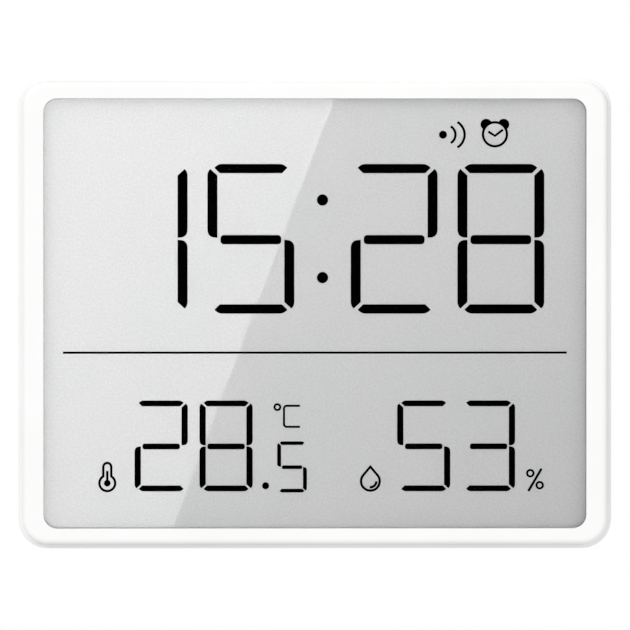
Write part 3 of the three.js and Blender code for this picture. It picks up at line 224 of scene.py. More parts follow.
def map_range(tree, start, end, low=0.0, high=1.0, smooth=False):
    """A Map Range node that takes start to low and end to high, straight or as a smooth step."""
    node = tree.nodes.new("ShaderNodeMapRange")
    node.interpolation_type = "SMOOTHSTEP" if smooth else "LINEAR"
    for socket, value in (("From Min", start), ("From Max", end), ("To Min", low), ("To Max", high)):
        node.inputs[socket].default_value = value
    return node


def floor_material():
    """Seen directly, matt white in a field behind the clock and plain white beyond: the larger of the two
    shares of the way from the field's middle to its edges says how far out a point lies. For other rays an
    even glow."""
    material, tree, matt = new_material("floor_paper")
    matt.inputs["Base Color"].default_value = FLOOR_TONE
    matt.inputs["Roughness"].default_value = 0.9
    matt.inputs["Emission Color"].default_value = WHITE
    matt.inputs["Emission Strength"].default_value = FLOOR_GLOW
    place = tree.nodes.new("ShaderNodeTexCoord")
    offset, share, size = [tree.nodes.new("ShaderNodeVectorMath") for step in range(3)]
    offset.operation, share.operation, size.operation = "SUBTRACT", "DIVIDE", "ABSOLUTE"
    offset.inputs[1].default_value, share.inputs[1].default_value = SHADOW_MIDDLE, SHADOW_HALF
    split, larger = tree.nodes.new("ShaderNodeSeparateXYZ"), tree.nodes.new("ShaderNodeMath")
    larger.operation = "MAXIMUM"
    fade = map_range(tree, *SHADOW_FADE, smooth=True)
    plain, even = tree.nodes.new("ShaderNodeEmission"), tree.nodes.new("ShaderNodeEmission")
    even.inputs["Strength"].default_value = FLOOR_LIGHT
    near_far, choice = tree.nodes.new("ShaderNodeMixShader"), tree.nodes.new("ShaderNodeMixShader")
    join(tree, ((place, "Object"), (offset, 0)), ((offset, 0), (share, 0)), ((share, 0), (size, 0)),
         ((size, 0), (split, 0)), ((split, "X"), (larger, 0)), ((split, "Y"), (larger, 1)),
         ((larger, 0), (fade, "Value")),
         ((fade, 0), (near_far, 0)), ((matt, 0), (near_far, 1)), ((plain, 0), (near_far, 2)),
         ((seen_directly(tree), 0), (choice, 0)), ((even, 0), (choice, 1)), ((near_far, 0), (choice, 2)),
         ((choice, 0), (tree.nodes["Material Output"], 0)))
    material.cycles.emission_sampling = "NONE"
    return material


def link_mesh(name, points, faces):
    """A new object at the origin from an array of points and a list of faces."""
    mesh = bpy.data.meshes.new(name)
    mesh.from_pydata(np.asarray(points).tolist(), [], faces)
    mesh.validate()
    return new_object(name, mesh)


SQUARE = np.array([[-1, -1], [1, -1], [1, 1], [-1, 1]])
floor = link_mesh("floor", np.column_stack([SQUARE, np.zeros(4)]) * FLOOR_SIZE / 2, [(0, 1, 2, 3)])
floor.data.materials.append(floor_material())
floor.visible_glossy = floor.visible_transmission = False
floor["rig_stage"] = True
print("floor is", FLOOR_SIZE, "m wide")

# %% [markdown]
# Cards that the display mirrors
#
# The silver film behind the display is partly a mirror, so what stands behind the camera shows in it. A
# photographer would hang a large sheet there that is pale at the upper left and falls away to black at the
# lower right, and a grey card before one half of it: the card's slanted edge is the line that crosses the
# display. Both are seen in mirrors and through the lens only, so they neither light nor shade the clock.

# %% Cards
CARD_DISTANCE, SHEET_BEHIND = 2.6, 10 * MM
CARD_LIFT = 0.70
SHEET_LIGHT = 2.0
SHEET_HALF = np.array([0.2, 0.17])
FALL_START, FALL_END = -0.30, 1.90
FALL_ACROSS, FALL_DOWN = 0.56, 0.44
SLANT_TOP = np.array([3.76, 94.3]) * MM
SLANT_FOOT = np.array([-30.0, 5.08]) * MM
SLANT_OVERRUN = 0.25
film_low, film_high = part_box("lcd_rear_glass")[0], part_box("lcd_reflector")[1]
eye = np.array([camera.location.x, camera.location.z])
spread = 1 + (CARD_DISTANCE + film_low.y) / (film_low.y - camera.location.y)


def on_card(point):
    """Where the mirror image of a point of the display lies on the card: away from the eye by the spread."""
    return eye + (point - eye) * spread


def at_depth(outline, y):
    """An (x, z) outline set at depth y, as points in space."""
    return np.column_stack([outline[:, 0], np.full(len(outline), y), outline[:, 1]])


def object_axes(tree):
    """A node that splits Object coordinates into X, Y and Z."""
    place, split = tree.nodes.new("ShaderNodeTexCoord"), tree.nodes.new("ShaderNodeSeparateXYZ")
    join(tree, ((place, "Object"), (split, 0)))
    return split


def share_of_way(tree, split, axis, start, end, weight):
    """A share that grows from 0 at the start to the weight at the end, along one axis."""
    share = map_range(tree, start, end, high=weight)
    share.clamp = False
    join(tree, ((split, axis), (share, "Value")))
    return share


sheet_left, sheet_top = on_card(np.array([film_low.x, film_high.z]))
sheet_right, sheet_foot = on_card(np.array([film_high.x, film_low.z]))


def card(name, outline, distance, lift):
    """A flat outline at a distance in front of the clock that glows with the fall of light from the upper
    left, plus a lift that is the same all over."""
    thing = link_mesh(name, at_depth(outline, -distance), [tuple(range(len(outline)))])
    material, tree, shader = new_material(name)
    shader.inputs["Base Color"].default_value = (0, 0, 0, 1)
    shader.inputs["Specular IOR Level"].default_value = 0
    shader.inputs["Emission Color"].default_value = WHITE
    split, way = object_axes(tree), tree.nodes.new("ShaderNodeMath")
    across = share_of_way(tree, split, "X", sheet_left, sheet_right, FALL_ACROSS)
    down = share_of_way(tree, split, "Z", sheet_top, sheet_foot, FALL_DOWN)
    fall = map_range(tree, FALL_START, FALL_END, SHEET_LIGHT + lift, lift, smooth=True)
    join(tree, ((across, 0), (way, 0)), ((down, 0), (way, 1)), ((way, 0), (fall, "Value")),
         ((fall, 0), (shader, "Emission Strength")))
    material.cycles.emission_sampling = "NONE"
    thing.data.materials.append(material)
    thing.visible_camera = thing.visible_diffuse = thing.visible_shadow = False
    thing.visible_volume_scatter = False
    thing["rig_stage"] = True


sheet_middle = on_card(np.array([CENTRE_X, CENTRE_Z]))
overrun = (SLANT_TOP - SLANT_FOOT) * SLANT_OVERRUN
slant_foot, slant_top = on_card(np.array([SLANT_FOOT - overrun, SLANT_TOP + overrun]))
card_left = sheet_middle[0] - SHEET_HALF[0]
card_corners = np.array([slant_foot, slant_top, [card_left, slant_top[1]], [card_left, slant_foot[1]]])
card("falling_sheet", sheet_middle + SHEET_HALF * SQUARE, CARD_DISTANCE + SHEET_BEHIND, 0)
card("grey_card", card_corners, CARD_DISTANCE, CARD_LIFT)
print("mirror image is spread", round(spread, 3), "times")

# %% [markdown]
# Surfaces from rings
#
# Nearly every piece here is a loft: a row of rings with the same number of points, joined by quads. A ring is
# a rounded rectangle at some depth, a circle round an axis, or an outline of a mark. The whole grid of points
# is one array, and the faces follow from the grid's own numbering, so no loop runs over vertices.

# %% Rings and lofts
CORNER_STEPS = 16
SHARP = np.radians(38)


def rounded_rectangle(x0, x1, z0, z1, radius, steps=CORNER_STEPS):
    """Points of a rounded rectangle, anticlockwise seen from the front: four quarter circles about the four
    corner centres. Array of (x, z)."""
    turn = np.linspace(0, np.pi / 2, steps + 1)
    angle = (np.array([-1, 0, 1, 2])[:, None] * np.pi / 2 + turn).ravel()
    centre_x = np.repeat([x1 - radius, x1 - radius, x0 + radius, x0 + radius], steps + 1)
    centre_z = np.repeat([z0 + radius, z1 - radius, z1 - radius, z0 + radius], steps + 1)
    return np.column_stack([centre_x + radius * np.cos(angle), centre_z + radius * np.sin(angle)])


def loft(rings, closed=False):
    """Quads between neighbouring rings, each ring closed in itself. Where the loft isn't closed in the
    other direction, the first and the last ring are filled. Returns points and faces; with rings that run
    anticlockwise from the front and go towards the back, the faces point outwards."""
    rings = np.asarray(rings)
    rows, across = rings.shape[:2]
    grid = np.arange(rows * across).reshape(rows, across)
    here = grid if closed else grid[:-1]
    there = np.roll(grid, -1, 0) if closed else grid[1:]
    quads = np.stack([here, np.roll(here, -1, 1), np.roll(there, -1, 1), there], -1).reshape(-1, 4)
    faces = quads[:, ::-1].tolist()
    if not closed:
        faces += [grid[0].tolist(), grid[-1][::-1].tolist()]
    return rings.reshape(-1, 3), faces


def several(*parts):
    """Joins (points, faces) pairs into one pair by shifting the numbers in the faces."""
    shift = np.cumsum([0] + [len(points) for points, faces in parts])
    faces = [[number + start for number in face]
             for (points, faces), start in zip(parts, shift) for face in faces]
    return np.concatenate([points for points, faces in parts]), faces


def piece(name, shape, material, body="case", replaces=(), soft=True):
    """Puts a shape into the scene as a finished piece: meshed, shaded smooth up to sharp edges, given its
    material, and set to ride on its body in place of the named nodes."""
    thing = link_mesh(name, *shape)
    mesh = thing.data
    mesh.materials.append(material)
    mesh.polygons.foreach_set("use_smooth", np.full(len(mesh.polygons), soft))
    if soft:
        mesh.set_sharp_from_angle(angle=SHARP)
    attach(thing, body)
    if replaces:
        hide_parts(*replaces)
    print(f"{name}: {len(mesh.vertices)} points, {len(mesh.polygons)} faces on {body}")


print("corners have", CORNER_STEPS, "steps")

# %% [markdown]
# White moulded plastic
#
# The case is injection moulded in a white plastic with a fine, almost smooth skin. A single flat white would
# look like paper, so its tone drifts a little from place to place, and a very fine grain breaks up the gloss.
# Both are noise on Object coordinates, in metres, so the grain keeps its real size on every piece.

# %% Noise finishes
NOISE_RANGE = (0.3, 0.7)


def object_noise(tree, scale, detail=2.0):
    """A noise on Object coordinates with so many waves per metre."""
    place, noise = tree.nodes.new("ShaderNodeTexCoord"), tree.nodes.new("ShaderNodeTexNoise")
    noise.inputs["Scale"].default_value, noise.inputs["Detail"].default_value = scale, detail
    join(tree, ((place, "Object"), (noise, "Vector")))
    return noise


def drifting_tone(tree, shader, dark, light, scale):
    """Colour between two close tones by a noise whose scale is in waves per metre."""
    noise, ramp = object_noise(tree, scale), tree.nodes.new("ShaderNodeValToRGB")
    for stop, position, tone in zip(ramp.color_ramp.elements, NOISE_RANGE, (dark, light)):
        stop.position, stop.color = position, (*tone, 1)
    join(tree, ((noise, "Fac"), (ramp, "Fac")), ((ramp, "Color"), (shader, "Base Color")))


def fine_grain(tree, shader, scale, depth, strength):
    """A bump from a noise of so many waves per metre and a depth in metres."""
    noise, bump = object_noise(tree, scale), tree.nodes.new("ShaderNodeBump")
    bump.inputs["Strength"].default_value, bump.inputs["Distance"].default_value = strength, depth
    join(tree, ((noise, "Fac"), (bump, "Height")), ((bump, "Normal"), (shader, "Normal")))


def finish(name, dark, light, scale, roughness, metallic=0.0, specular=0.5, grain=None):
    """A drifting tone with one roughness, and a grain of (waves per metre, depth, strength) if it has one."""
    material, tree, shader = new_material(name)
    drifting_tone(tree, shader, dark, light, scale)
    shader.inputs["Roughness"].default_value = roughness
    shader.inputs["Metallic"].default_value = metallic
    shader.inputs["Specular IOR Level"].default_value = specular
    if grain:
        fine_grain(tree, shader, *grain)
    return material


white_plastic = finish("white_plastic", (0.855, 0.855, 0.85), (0.875, 0.875, 0.87), 60, 0.42,
                       grain=(2600, 0.02 * MM, 0.25))
print("materials:", [m.name for m in bpy.data.materials])

# %% [markdown]
# Front bezel
#
# The bezel is a frame with a broad flat front, a soft round at its outer edge and a small one round the
# window. Behind its lip sits the lens. A box with a hole and bevels would come close, but in a loft each
# round has a size of its own. The rings start at the window, run out over the front, round the outer
# edge, back along the side, and home through the seat of the lens.

# %% Bezel
LENS_OVERLAP = 2.0 * MM
WINDOW_RADIUS = 2.9 * MM
LIP_DEPTH = 0.8 * MM
LIP_ROUND = 0.15 * MM
FRONT_ROUND = 1.1 * MM
BACK_ROUND = 0.12 * MM
BEZEL_RADIUS = 5.25 * MM
SEAT_GAP = 0.3 * MM
RIM_GAP = 0.02 * MM
HOLD = 0.12 * MM
ROUND_STEPS = 10
OUTWARD = np.array([-1, 1, -1, 1])

bezel_low, bezel_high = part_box("front_bezel")
case_low, case_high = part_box("rear_case")
lens_low, lens_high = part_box("display_lens")
window = np.array([lens_low.x, lens_high.x, lens_low.z, lens_high.z]) - LENS_OVERLAP * OUTWARD
front, bezel_back = bezel_low.y, case_low.y - RIM_GAP
quarter = np.linspace(0, np.pi / 2, ROUND_STEPS + 1)


def window_ring(grow, y):
    """The window's outline, grown outwards, at a depth."""
    return at_depth(rounded_rectangle(*(window + grow * OUTWARD), WINDOW_RADIUS + grow), y)


def edge_ring(inset, y):
    """The bezel's outer outline, drawn in, at a depth."""
    edges = np.array([bezel_low.x, bezel_high.x, bezel_low.z, bezel_high.z])
    return at_depth(rounded_rectangle(*(edges - inset * OUTWARD), BEZEL_RADIUS - inset), y)


lip = [window_ring(LIP_ROUND * (1 - np.cos(a)), front + LIP_ROUND * (1 - np.sin(a))) for a in quarter]
outer_round = [edge_ring(FRONT_ROUND * (1 - np.sin(a)), front + FRONT_ROUND * (1 - np.cos(a)))
               for a in quarter]
seat_outline = rounded_rectangle(*(window + (LENS_OVERLAP + SEAT_GAP) * OUTWARD), WINDOW_RADIUS)
bezel_rings = [
    *lip,
    window_ring(LIP_ROUND + HOLD, front),
    edge_ring(FRONT_ROUND + HOLD, front),
    *outer_round,
    edge_ring(0, bezel_back - BACK_ROUND),
    edge_ring(BACK_ROUND, bezel_back),
    at_depth(seat_outline, bezel_back),
    at_depth(seat_outline, front + LIP_DEPTH),
    window_ring(0, front + LIP_DEPTH),
]
piece("bezel", loft(bezel_rings, closed=True), white_plastic, replaces=["front_bezel"])

# %% [markdown]
# Lens, glass and silver film
#
# Behind the bezel lies a clear lens, then the front glass of the cell with its polariser, and last the rear
# glass with a silver film that sends the light back. Light has to reach the film, so the lens lets shadow
# rays pass as if it were not there. It has no gloss of its own, like a coated window. The film is a soft grey
# metal under a smooth top coat: the grey gives the silver of the display, and the coat mirrors the cards.

# %% Clear materials and film
FILM_DARK, FILM_LIGHT = 0.345, 0.405


def clear_lens_material():
    """Clear plastic for all rays but shadow rays, which go straight through."""
    material, tree, shader = new_material("clear_lens")
    drifting_tone(tree, shader, (0.985, 0.99, 0.99), (1, 1, 1), 40)
    shader.inputs["Roughness"].default_value = 0
    shader.inputs["Transmission Weight"].default_value = 1
    shader.inputs["IOR"].default_value = 1.004
    shader.inputs["Specular IOR Level"].default_value = 0
    path = tree.nodes.new("ShaderNodeLightPath")
    open_way = tree.nodes.new("ShaderNodeBsdfTransparent")
    mix = tree.nodes.new("ShaderNodeMixShader")
    join(tree, ((path, "Is Shadow Ray"), (mix, 0)), ((shader, 0), (mix, 1)), ((open_way, 0), (mix, 2)),
         ((mix, 0), (tree.nodes["Material Output"], 0)))
    return material


def cell_glass_material():
    """A faint dark veil: mostly see-through by its alpha."""
    material, tree, shader = new_material("cell_glass")
    drifting_tone(tree, shader, (0.0003, 0.0004, 0.0003), (0.0007, 0.0009, 0.0008), 30)
    shader.inputs["Roughness"].default_value = 0.2
    shader.inputs["Specular IOR Level"].default_value = 0
    shader.inputs["Alpha"].default_value = 0.02
    return material


def silver_film_material():
    """Mostly metal, partly matt grey, with a fine speckle, under a smooth coat that mirrors a fifth of the
    light."""
    material, tree, shader = new_material("silver_film")
    noise = object_noise(tree, 2400, detail=4)
    speckle = map_range(tree, *NOISE_RANGE, FILM_DARK, FILM_LIGHT)
    join(tree, ((noise, "Fac"), (speckle, "Value")), ((speckle, 0), (shader, "Base Color")))
    shader.inputs["Metallic"].default_value = 0.75
    shader.inputs["Roughness"].default_value = 0.4
    shader.inputs["Coat Weight"].default_value = 1
    shader.inputs["Coat Roughness"].default_value = 0
    shader.inputs["Coat IOR"].default_value = 2.6
    return material


clear_lens, cell_glass, silver_film = clear_lens_material(), cell_glass_material(), silver_film_material()
print("materials:", [m.name for m in (clear_lens, cell_glass, silver_film)])

# %% [markdown]
# Sheets of the display
#
# Lens, cell and film are flat sheets of plastic and glass. A scaled cube would do for a sheet, but its
# sharp edges catch no light, so each sheet is a loft of four rings: two at full size and two drawn in
# for the chamfers. The polariser is stuck to the front glass and the film to the rear glass, so each of
# these pairs is one piece.

# %% Lens and cell
SHEET_EDGE = 0.05 * MM
GLASS_CORNER = 0.3 * MM


def sheet_between(low, high, radius):
    """A flat sheet between two corners of a box, with rounded corners and a small chamfer along its edges."""
    sides = np.array([low.x, high.x, low.z, high.z])
    full = rounded_rectangle(*sides, radius)
    small = rounded_rectangle(*(sides - SHEET_EDGE * OUTWARD), radius - SHEET_EDGE)
    return loft([at_depth(small, low.y), at_depth(full, low.y + SHEET_EDGE),
                 at_depth(full, high.y - SHEET_EDGE), at_depth(small, high.y)])


cell_low, cell_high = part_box("lcd_front_polariser")[0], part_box("lcd_front_glass")[1]
piece("lens", sheet_between(lens_low, lens_high, WINDOW_RADIUS), clear_lens,
      replaces=["display_lens"])
piece("front_cell", sheet_between(cell_low, cell_high, GLASS_CORNER), cell_glass,
      replaces=["lcd_front_polariser", "lcd_front_glass"])
piece("silver_film", sheet_between(film_low, film_high, GLASS_CORNER), silver_film,
      replaces=["lcd_rear_glass", "lcd_reflector"])

# %% [markdown]
# Marks of the display
#
# The digits, signs and pictograms are thin shapes in the liquid crystal. Where they are switched on they
# take all the light, so they look deep black. They could be painted on the film, but shapes stay sharp
# from near by, so each is a flat outline given a little thickness. The outlines come from a few tools: a
# bend that rounds a corner, a disc, a band between two outlines, and a line of some width along a path.
# The crystal also turns a little beyond the edge of the electrode, so every outline is drawn slightly
# larger.

# %% Outline tools
SPREAD = 0.05
BEND_STEPS, CIRCLE_STEPS = 6, 48
cell_front, cell_back = [corner.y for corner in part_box("lcd_hour_digits")]
display_ink = finish("display_ink", (0.0003, 0.0003, 0.0003), (0.0007, 0.0007, 0.0007), 3000, 0.9, specular=0)


def bend(start, control, end):
    """Quadratic curve: (1 - t)^2 start + 2 t (1 - t) control + t^2 end, for t from 0 to 1."""
    t = np.linspace(0, 1, BEND_STEPS + 1)[:, None]
    return (1 - t) ** 2 * np.array(start) + 2 * t * (1 - t) * np.array(control) + t ** 2 * np.array(end)


def arc(centre, radius, start, end, steps=32):
    """Points of a circle about a centre from one angle to another."""
    angle = np.linspace(start, end, steps + 1)
    return np.array(centre) + radius * np.column_stack([np.cos(angle), np.sin(angle)])


def circle(centre, radius):
    """Points all round a circle, each of them once."""
    return arc(centre, radius, 0, 2 * np.pi * (1 - 1 / CIRCLE_STEPS), CIRCLE_STEPS - 1)


def anticlockwise(outline):
    """The outline, turned round if its signed area is negative."""
    following = np.roll(outline, -1, 0)
    area = np.sum(outline[:, 0] * following[:, 1] - outline[:, 1] * following[:, 0])
    return outline if area > 0 else outline[::-1]


def grown(outline, by):
    """An anticlockwise outline moved outwards: each point goes along the mean of the normals of its two
    edges, far enough for both edges to move by the given length."""
    ahead = np.roll(outline, -1, 0) - outline
    normal = np.column_stack([ahead[:, 1], -ahead[:, 0]]) / np.linalg.norm(ahead, axis=1, keepdims=True)
    before = np.roll(normal, 1, 0)
    return outline + by * (normal + before) / (1 + np.sum(normal * before, 1, keepdims=True))


def plate(outline):
    """A filled outline, in mm, with the spread of the crystal's edge and its thickness."""
    outline = grown(anticlockwise(np.asarray(outline)), SPREAD) * MM
    return loft([at_depth(outline, cell_front), at_depth(outline, cell_back)])


def band(outer, inner):
    """The space between two outlines with the same number of points, in mm, spread and thick like a
    plate."""
    outer, inner = grown(outer, SPREAD) * MM, grown(inner, -SPREAD) * MM
    return loft([at_depth(inner, cell_front), at_depth(outer, cell_front),
                 at_depth(outer, cell_back), at_depth(inner, cell_back)], closed=True)


def line(path, width):
    """A line of some width along a path: the path moved half the width to each side along its normals."""
    path = np.asarray(path, float)
    along = np.gradient(path, axis=0)
    along /= np.linalg.norm(along, axis=1, keepdims=True)
    side = np.column_stack([-along[:, 1], along[:, 0]]) * width / 2
    return plate(np.concatenate([path + side, (path - side)[::-1]]))


def ring(centre, diameter, width):
    """A circle drawn with a line of some width."""
    return band(circle(centre, diameter / 2 + width / 2), circle(centre, diameter / 2 - width / 2))


def disc(centre, radius):
    """A filled circle."""
    return plate(circle(centre, radius))


def place_of(node):
    """The box of a mark in mm: left, right, low, high."""
    low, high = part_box(node)
    return np.array([low.x, high.x, low.z, high.z]) / MM


def mark(name, node, *parts):
    """The parts of a mark as one black piece in place of its node."""
    piece(name, several(*parts), display_ink, replaces=[node], soft=False)


print("crystal is", round((cell_back - cell_front) / MM, 2), "mm thick")

# %% [markdown]
# Seven-segment digits
#
# A digit has three level strokes and four upright ones. The strokes run to a point at the corners of the
# digit, with a narrow gap between their slants, and the middle stroke is a plain rounded bar. One level and
# one upright stroke are drawn, and the others are their mirror images.

# %% Strokes
STROKES = {"1": "bc", "2": "abged", "3": "abgcd", "5": "afgcd", "8": "abcdefg"}
LEVEL_SHARES = np.array([0.79, 0.41, 0.60, 0.85])
UPRIGHT_SHARES = np.array([0.28, 0.66, 0.68, 0.85])
UPRIGHT_END, UPRIGHT_HEEL = 0.58, 0.92
MIDDLE_INSET, MIDDLE_GAP, MIDDLE_DROP, MIDDLE_ROUND = 1.48, 0.31, 0.10, 0.36
MIDDLE_STEPS = 4


def level_stroke(width, height, row):
    """The top stroke. It ends in a point near its outer edge: a straight slant leads to it from inside and
    a round shoulder from outside. All measures are shares of the stroke's thickness."""
    end, tip, slant, shoulder = LEVEL_SHARES * row
    right = width - end
    return np.concatenate([
        [(end + slant, height - row), (right - slant, height - row)],
        bend((right, height - tip), (right - tip, height), (right - shoulder, height)),
        bend((end + shoulder, height), (end + tip, height), (end, height - tip)),
    ])


def upright_stroke(height, row, column):
    """The upper left stroke: pointed like the level one at its top, with a round heel at its foot, beside
    the middle stroke."""
    tip, slant, shoulder, sole = UPRIGHT_SHARES * column
    top, foot = height - UPRIGHT_END * row, height / 2 + MIDDLE_GAP * row / 2
    return np.concatenate([
        [(column, foot), (column, top - slant)],
        bend((tip, top), (0, top - tip), (0, top - shoulder)),
        bend((0, foot + UPRIGHT_HEEL * row), (0, foot), (sole, foot)),
    ])


def digit(value, left, low, size):
    """The lit strokes of a digit whose lower left corner is given. The size is its width, its height and
    the thickness of its level and upright strokes."""
    width, height, row, column = size
    level, upright = level_stroke(width, height, row), upright_stroke(height, row, column)
    inset, bar_low = MIDDLE_INSET * row, height / 2 - (0.5 + MIDDLE_DROP) * row
    middle = rounded_rectangle(inset, width - inset, bar_low, bar_low + row, MIDDLE_ROUND * row,
                               MIDDLE_STEPS)
    over, down = np.array([width, 0]), np.array([0, height])
    across, under = np.array([-1, 1]), np.array([1, -1])
    shapes = {"a": level, "d": down + level * under, "f": upright, "b": over + upright * across,
              "g": middle, "e": down + upright * under, "c": over + down - upright}
    return [plate(shapes[stroke] + (left, low)) for stroke in STROKES[value]]


print("strokes of each digit:", STROKES)

# %% [markdown]
# Rows of digits
#
# The time stands in the upper row and the climate in the lower one, in three sizes of the same digit.
# The digits could be placed one by one, but a pair always has the same pitch, so it is set at once from
# the right edge of its node's box. The temperature adds a point and a small digit for the tenths.

# %% Digits
TIME_SIZE = (18.36, 31.70, 1.87, 2.02)
CLIMATE_SIZE = (11.20, 19.20, 1.13, 1.23)
TENTHS_SIZE = (6.23, 10.77, 0.68, 0.74)
TIME_PITCH, CLIMATE_PITCH = 22.68, 13.79
POINT_RADIUS, POINT_RISE, POINT_STEP = 0.70, 1.13, 2.51


def digits(name, node, values, size, pitch):
    """A pair of digits: the right edge of the second lies at the right edge of the node's box."""
    _, right, low, _ = place_of(node)
    second = right - size[0]
    mark(name, node, *digit(values[0], second - pitch, low, size), *digit(values[1], second, low, size))


digits("hours", "lcd_hour_digits", "15", TIME_SIZE, TIME_PITCH)
digits("minutes", "lcd_minute_digits", "28", TIME_SIZE, TIME_PITCH)
digits("humidity", "lcd_humidity_digits", "53", CLIMATE_SIZE, CLIMATE_PITCH)

left, right, low, high = place_of("lcd_temperature_digits")
tenths_left, foot = right - TENTHS_SIZE[0], high - CLIMATE_SIZE[1]
mark("temperature", "lcd_temperature_digits",
     *digit("2", left, foot, CLIMATE_SIZE), *digit("8", left + CLIMATE_PITCH, foot, CLIMATE_SIZE),
     *digit("5", tenths_left, low, TENTHS_SIZE),
     disc((tenths_left - POINT_STEP, foot + POINT_RISE), POINT_RADIUS))

# %% [markdown]
# Colon, divider and signs
#
# The smaller marks are dots and thin lines: the colon, the divider between the two rows, the degree sign
# with its C, and the percent sign. A font could give the signs, but the display has its own plain forms,
# so they are drawn from lines and rings. Each is set from the box of its own node.

# %% Signs
FINE, BOLD = 0.36, 0.42
DEGREE, DEGREE_RISE = 1.58, 0.33
LETTER_WIDTH, LETTER_RADIUS = 3.53, 0.75 - FINE / 2
PERCENT_RING, SLASH = 1.72, np.array([2.75, 4.70])
UPPER_RING, LOWER_RING = np.array([0.39, 3.77]), np.array([2.39, 1.22])

left, right, low, high = place_of("lcd_colon")
dot = (right - left) / 2
mark("colon", "lcd_colon", disc((left + dot, low + dot), dot), disc((left + dot, high - dot), dot))

left, right, low, high = place_of("lcd_divider")
mark("divider", "lcd_divider", line([(left, (low + high) / 2), (right, (low + high) / 2)], FINE))

left, right, low, high = place_of("lcd_celsius_sign")
letter_top, letter_foot = high - DEGREE_RISE - FINE / 2, low + FINE / 2
bow_x = right - LETTER_WIDTH + FINE / 2 + LETTER_RADIUS
bow = np.concatenate([
    [(right, letter_top)],
    arc((bow_x, letter_top - LETTER_RADIUS), LETTER_RADIUS, np.pi / 2, np.pi, 8),
    arc((bow_x, letter_foot + LETTER_RADIUS), LETTER_RADIUS, np.pi, 1.5 * np.pi, 8),
    [(right, letter_foot)],
])
mark("celsius", "lcd_celsius_sign",
     ring((left + DEGREE / 2, high - DEGREE / 2), DEGREE - FINE, FINE), line(bow, FINE))

left, right, low, high = place_of("lcd_percent_sign")
foot = np.array([left + PERCENT_RING / 2 - UPPER_RING[0], (low + high - SLASH[1]) / 2])
mark("percent", "lcd_percent_sign", line([foot, foot + SLASH], BOLD),
     ring(foot + UPPER_RING, PERCENT_RING - FINE, FINE), ring(foot + LOWER_RING, PERCENT_RING - FINE, FINE))

# %% [markdown]
# Thermometer and drop
#
# Two pictograms say which number is the temperature and which the humidity. Both are outlines of even
# width. A line along the form would do for the round parts, but it would blunt the tip of the drop, so
# the form is worked out twice, at full size and drawn in by the width of the line, and a band fills the
# space between.

# %% Thermometer and drop
BULB, TUBE, MERCURY, COLUMN = 1.89, 1.06, 0.66, 2.55
TIP_CUT = 0.55
GLINT_RADIUS, GLINT_TURN = 1.28, np.radians([-95, -3])


def thermometer(bulb, neck, inset):
    """Outline of a bulb with a round-ended tube, about the middles of the bulb and of the tube's end, drawn
    in by an inset."""
    opening = np.arcsin((TUBE - inset) / (BULB - inset))
    return np.concatenate([
        arc(bulb, BULB - inset, np.pi / 2 + opening, 2.5 * np.pi - opening),
        arc(neck, TUBE - inset, 0, np.pi, 16),
    ])


def drop(middle, radius, height, inset):
    """Outline of a drop: a circle and the two tangents that meet at the tip, drawn in by an inset."""
    apex = (height + TIP_CUT / 2) * (radius - inset) / radius
    opening = np.arccos((radius - inset) / apex)
    return np.concatenate([
        arc(middle, radius - inset, np.pi / 2 + opening, 2.5 * np.pi - opening),
        [(middle[0], middle[1] + apex)],
    ])


left, right, low, high = place_of("lcd_thermometer_icon")
bulb, neck = ((left + right) / 2, low + BULB), ((left + right) / 2, high - TUBE)
mark("thermometer", "lcd_thermometer_icon", band(thermometer(bulb, neck, 0), thermometer(bulb, neck, BOLD)),
     disc(bulb, MERCURY), line([bulb, (bulb[0], bulb[1] + COLUMN)], BOLD))

left, right, low, high = place_of("lcd_drop_icon")
radius = (right - left) / 2
middle, height = ((left + right) / 2, low + radius), high - low - radius
mark("drop", "lcd_drop_icon", band(drop(middle, radius, height, 0), drop(middle, radius, height, BOLD)),
     line(arc(middle, GLINT_RADIUS, *GLINT_TURN, 16), BOLD))

# %% [markdown]
# Alarm clock and sound wave
#
# Two more pictograms show that the alarm and the sound are on. The alarm clock is a ring with two hands
# and two bells, and each bell is a disc cut off by the dial. A Boolean could cut it, but the points
# where the two circles cross follow from the sides of a triangle, so the outline is worked out directly.

# %% Alarm clock and sound wave
DIAL, BELL, BELL_STEP = 2.76, 1.15, np.array([1.86, 2.10])
HANDS = np.array([[-1.38, 0.54], [0, -0.33], [1.65, 0.95]])
WAVES, WAVE_TURN = [(2.65, 2.05), (4.59, 3.16)], np.radians(58)
DOT = 0.80


def bell(dial, side):
    """The part of a disc that lies outside the middle of the dial's line: an outer arc about the bell and
    an inner arc about the dial, between the two points where the circles cross."""
    step = BELL_STEP * (side, 1)
    reach, clear = np.hypot(*step), DIAL - BOLD / 2
    heading = np.arctan2(step[1], step[0])
    at_dial = np.arccos((reach ** 2 + clear ** 2 - BELL ** 2) / (2 * reach * clear))
    at_bell = np.pi - np.arccos((reach ** 2 + BELL ** 2 - clear ** 2) / (2 * reach * BELL))
    return plate(np.concatenate([arc(dial + step, BELL, heading - at_bell, heading + at_bell),
                                 arc(dial, clear, heading + at_dial, heading - at_dial, 12)[1:-1]]))


left, right, low, high = place_of("lcd_alarm_icon")
dial = np.array([(left + right) / 2, low + DIAL])
mark("alarm", "lcd_alarm_icon", ring(dial, 2 * DIAL - BOLD, BOLD), bell(dial, -1), bell(dial, 1),
     line(dial + HANDS, BOLD))

left, right, low, high = place_of("lcd_sound_icon")
source = np.array([left + DOT, (low + high) / 2])
waves = [line(arc(source + (reach - radius, 0), radius, -WAVE_TURN, WAVE_TURN), BOLD)
         for reach, radius in WAVES]
mark("sound", "lcd_sound_icon", disc(source, DOT), *waves)

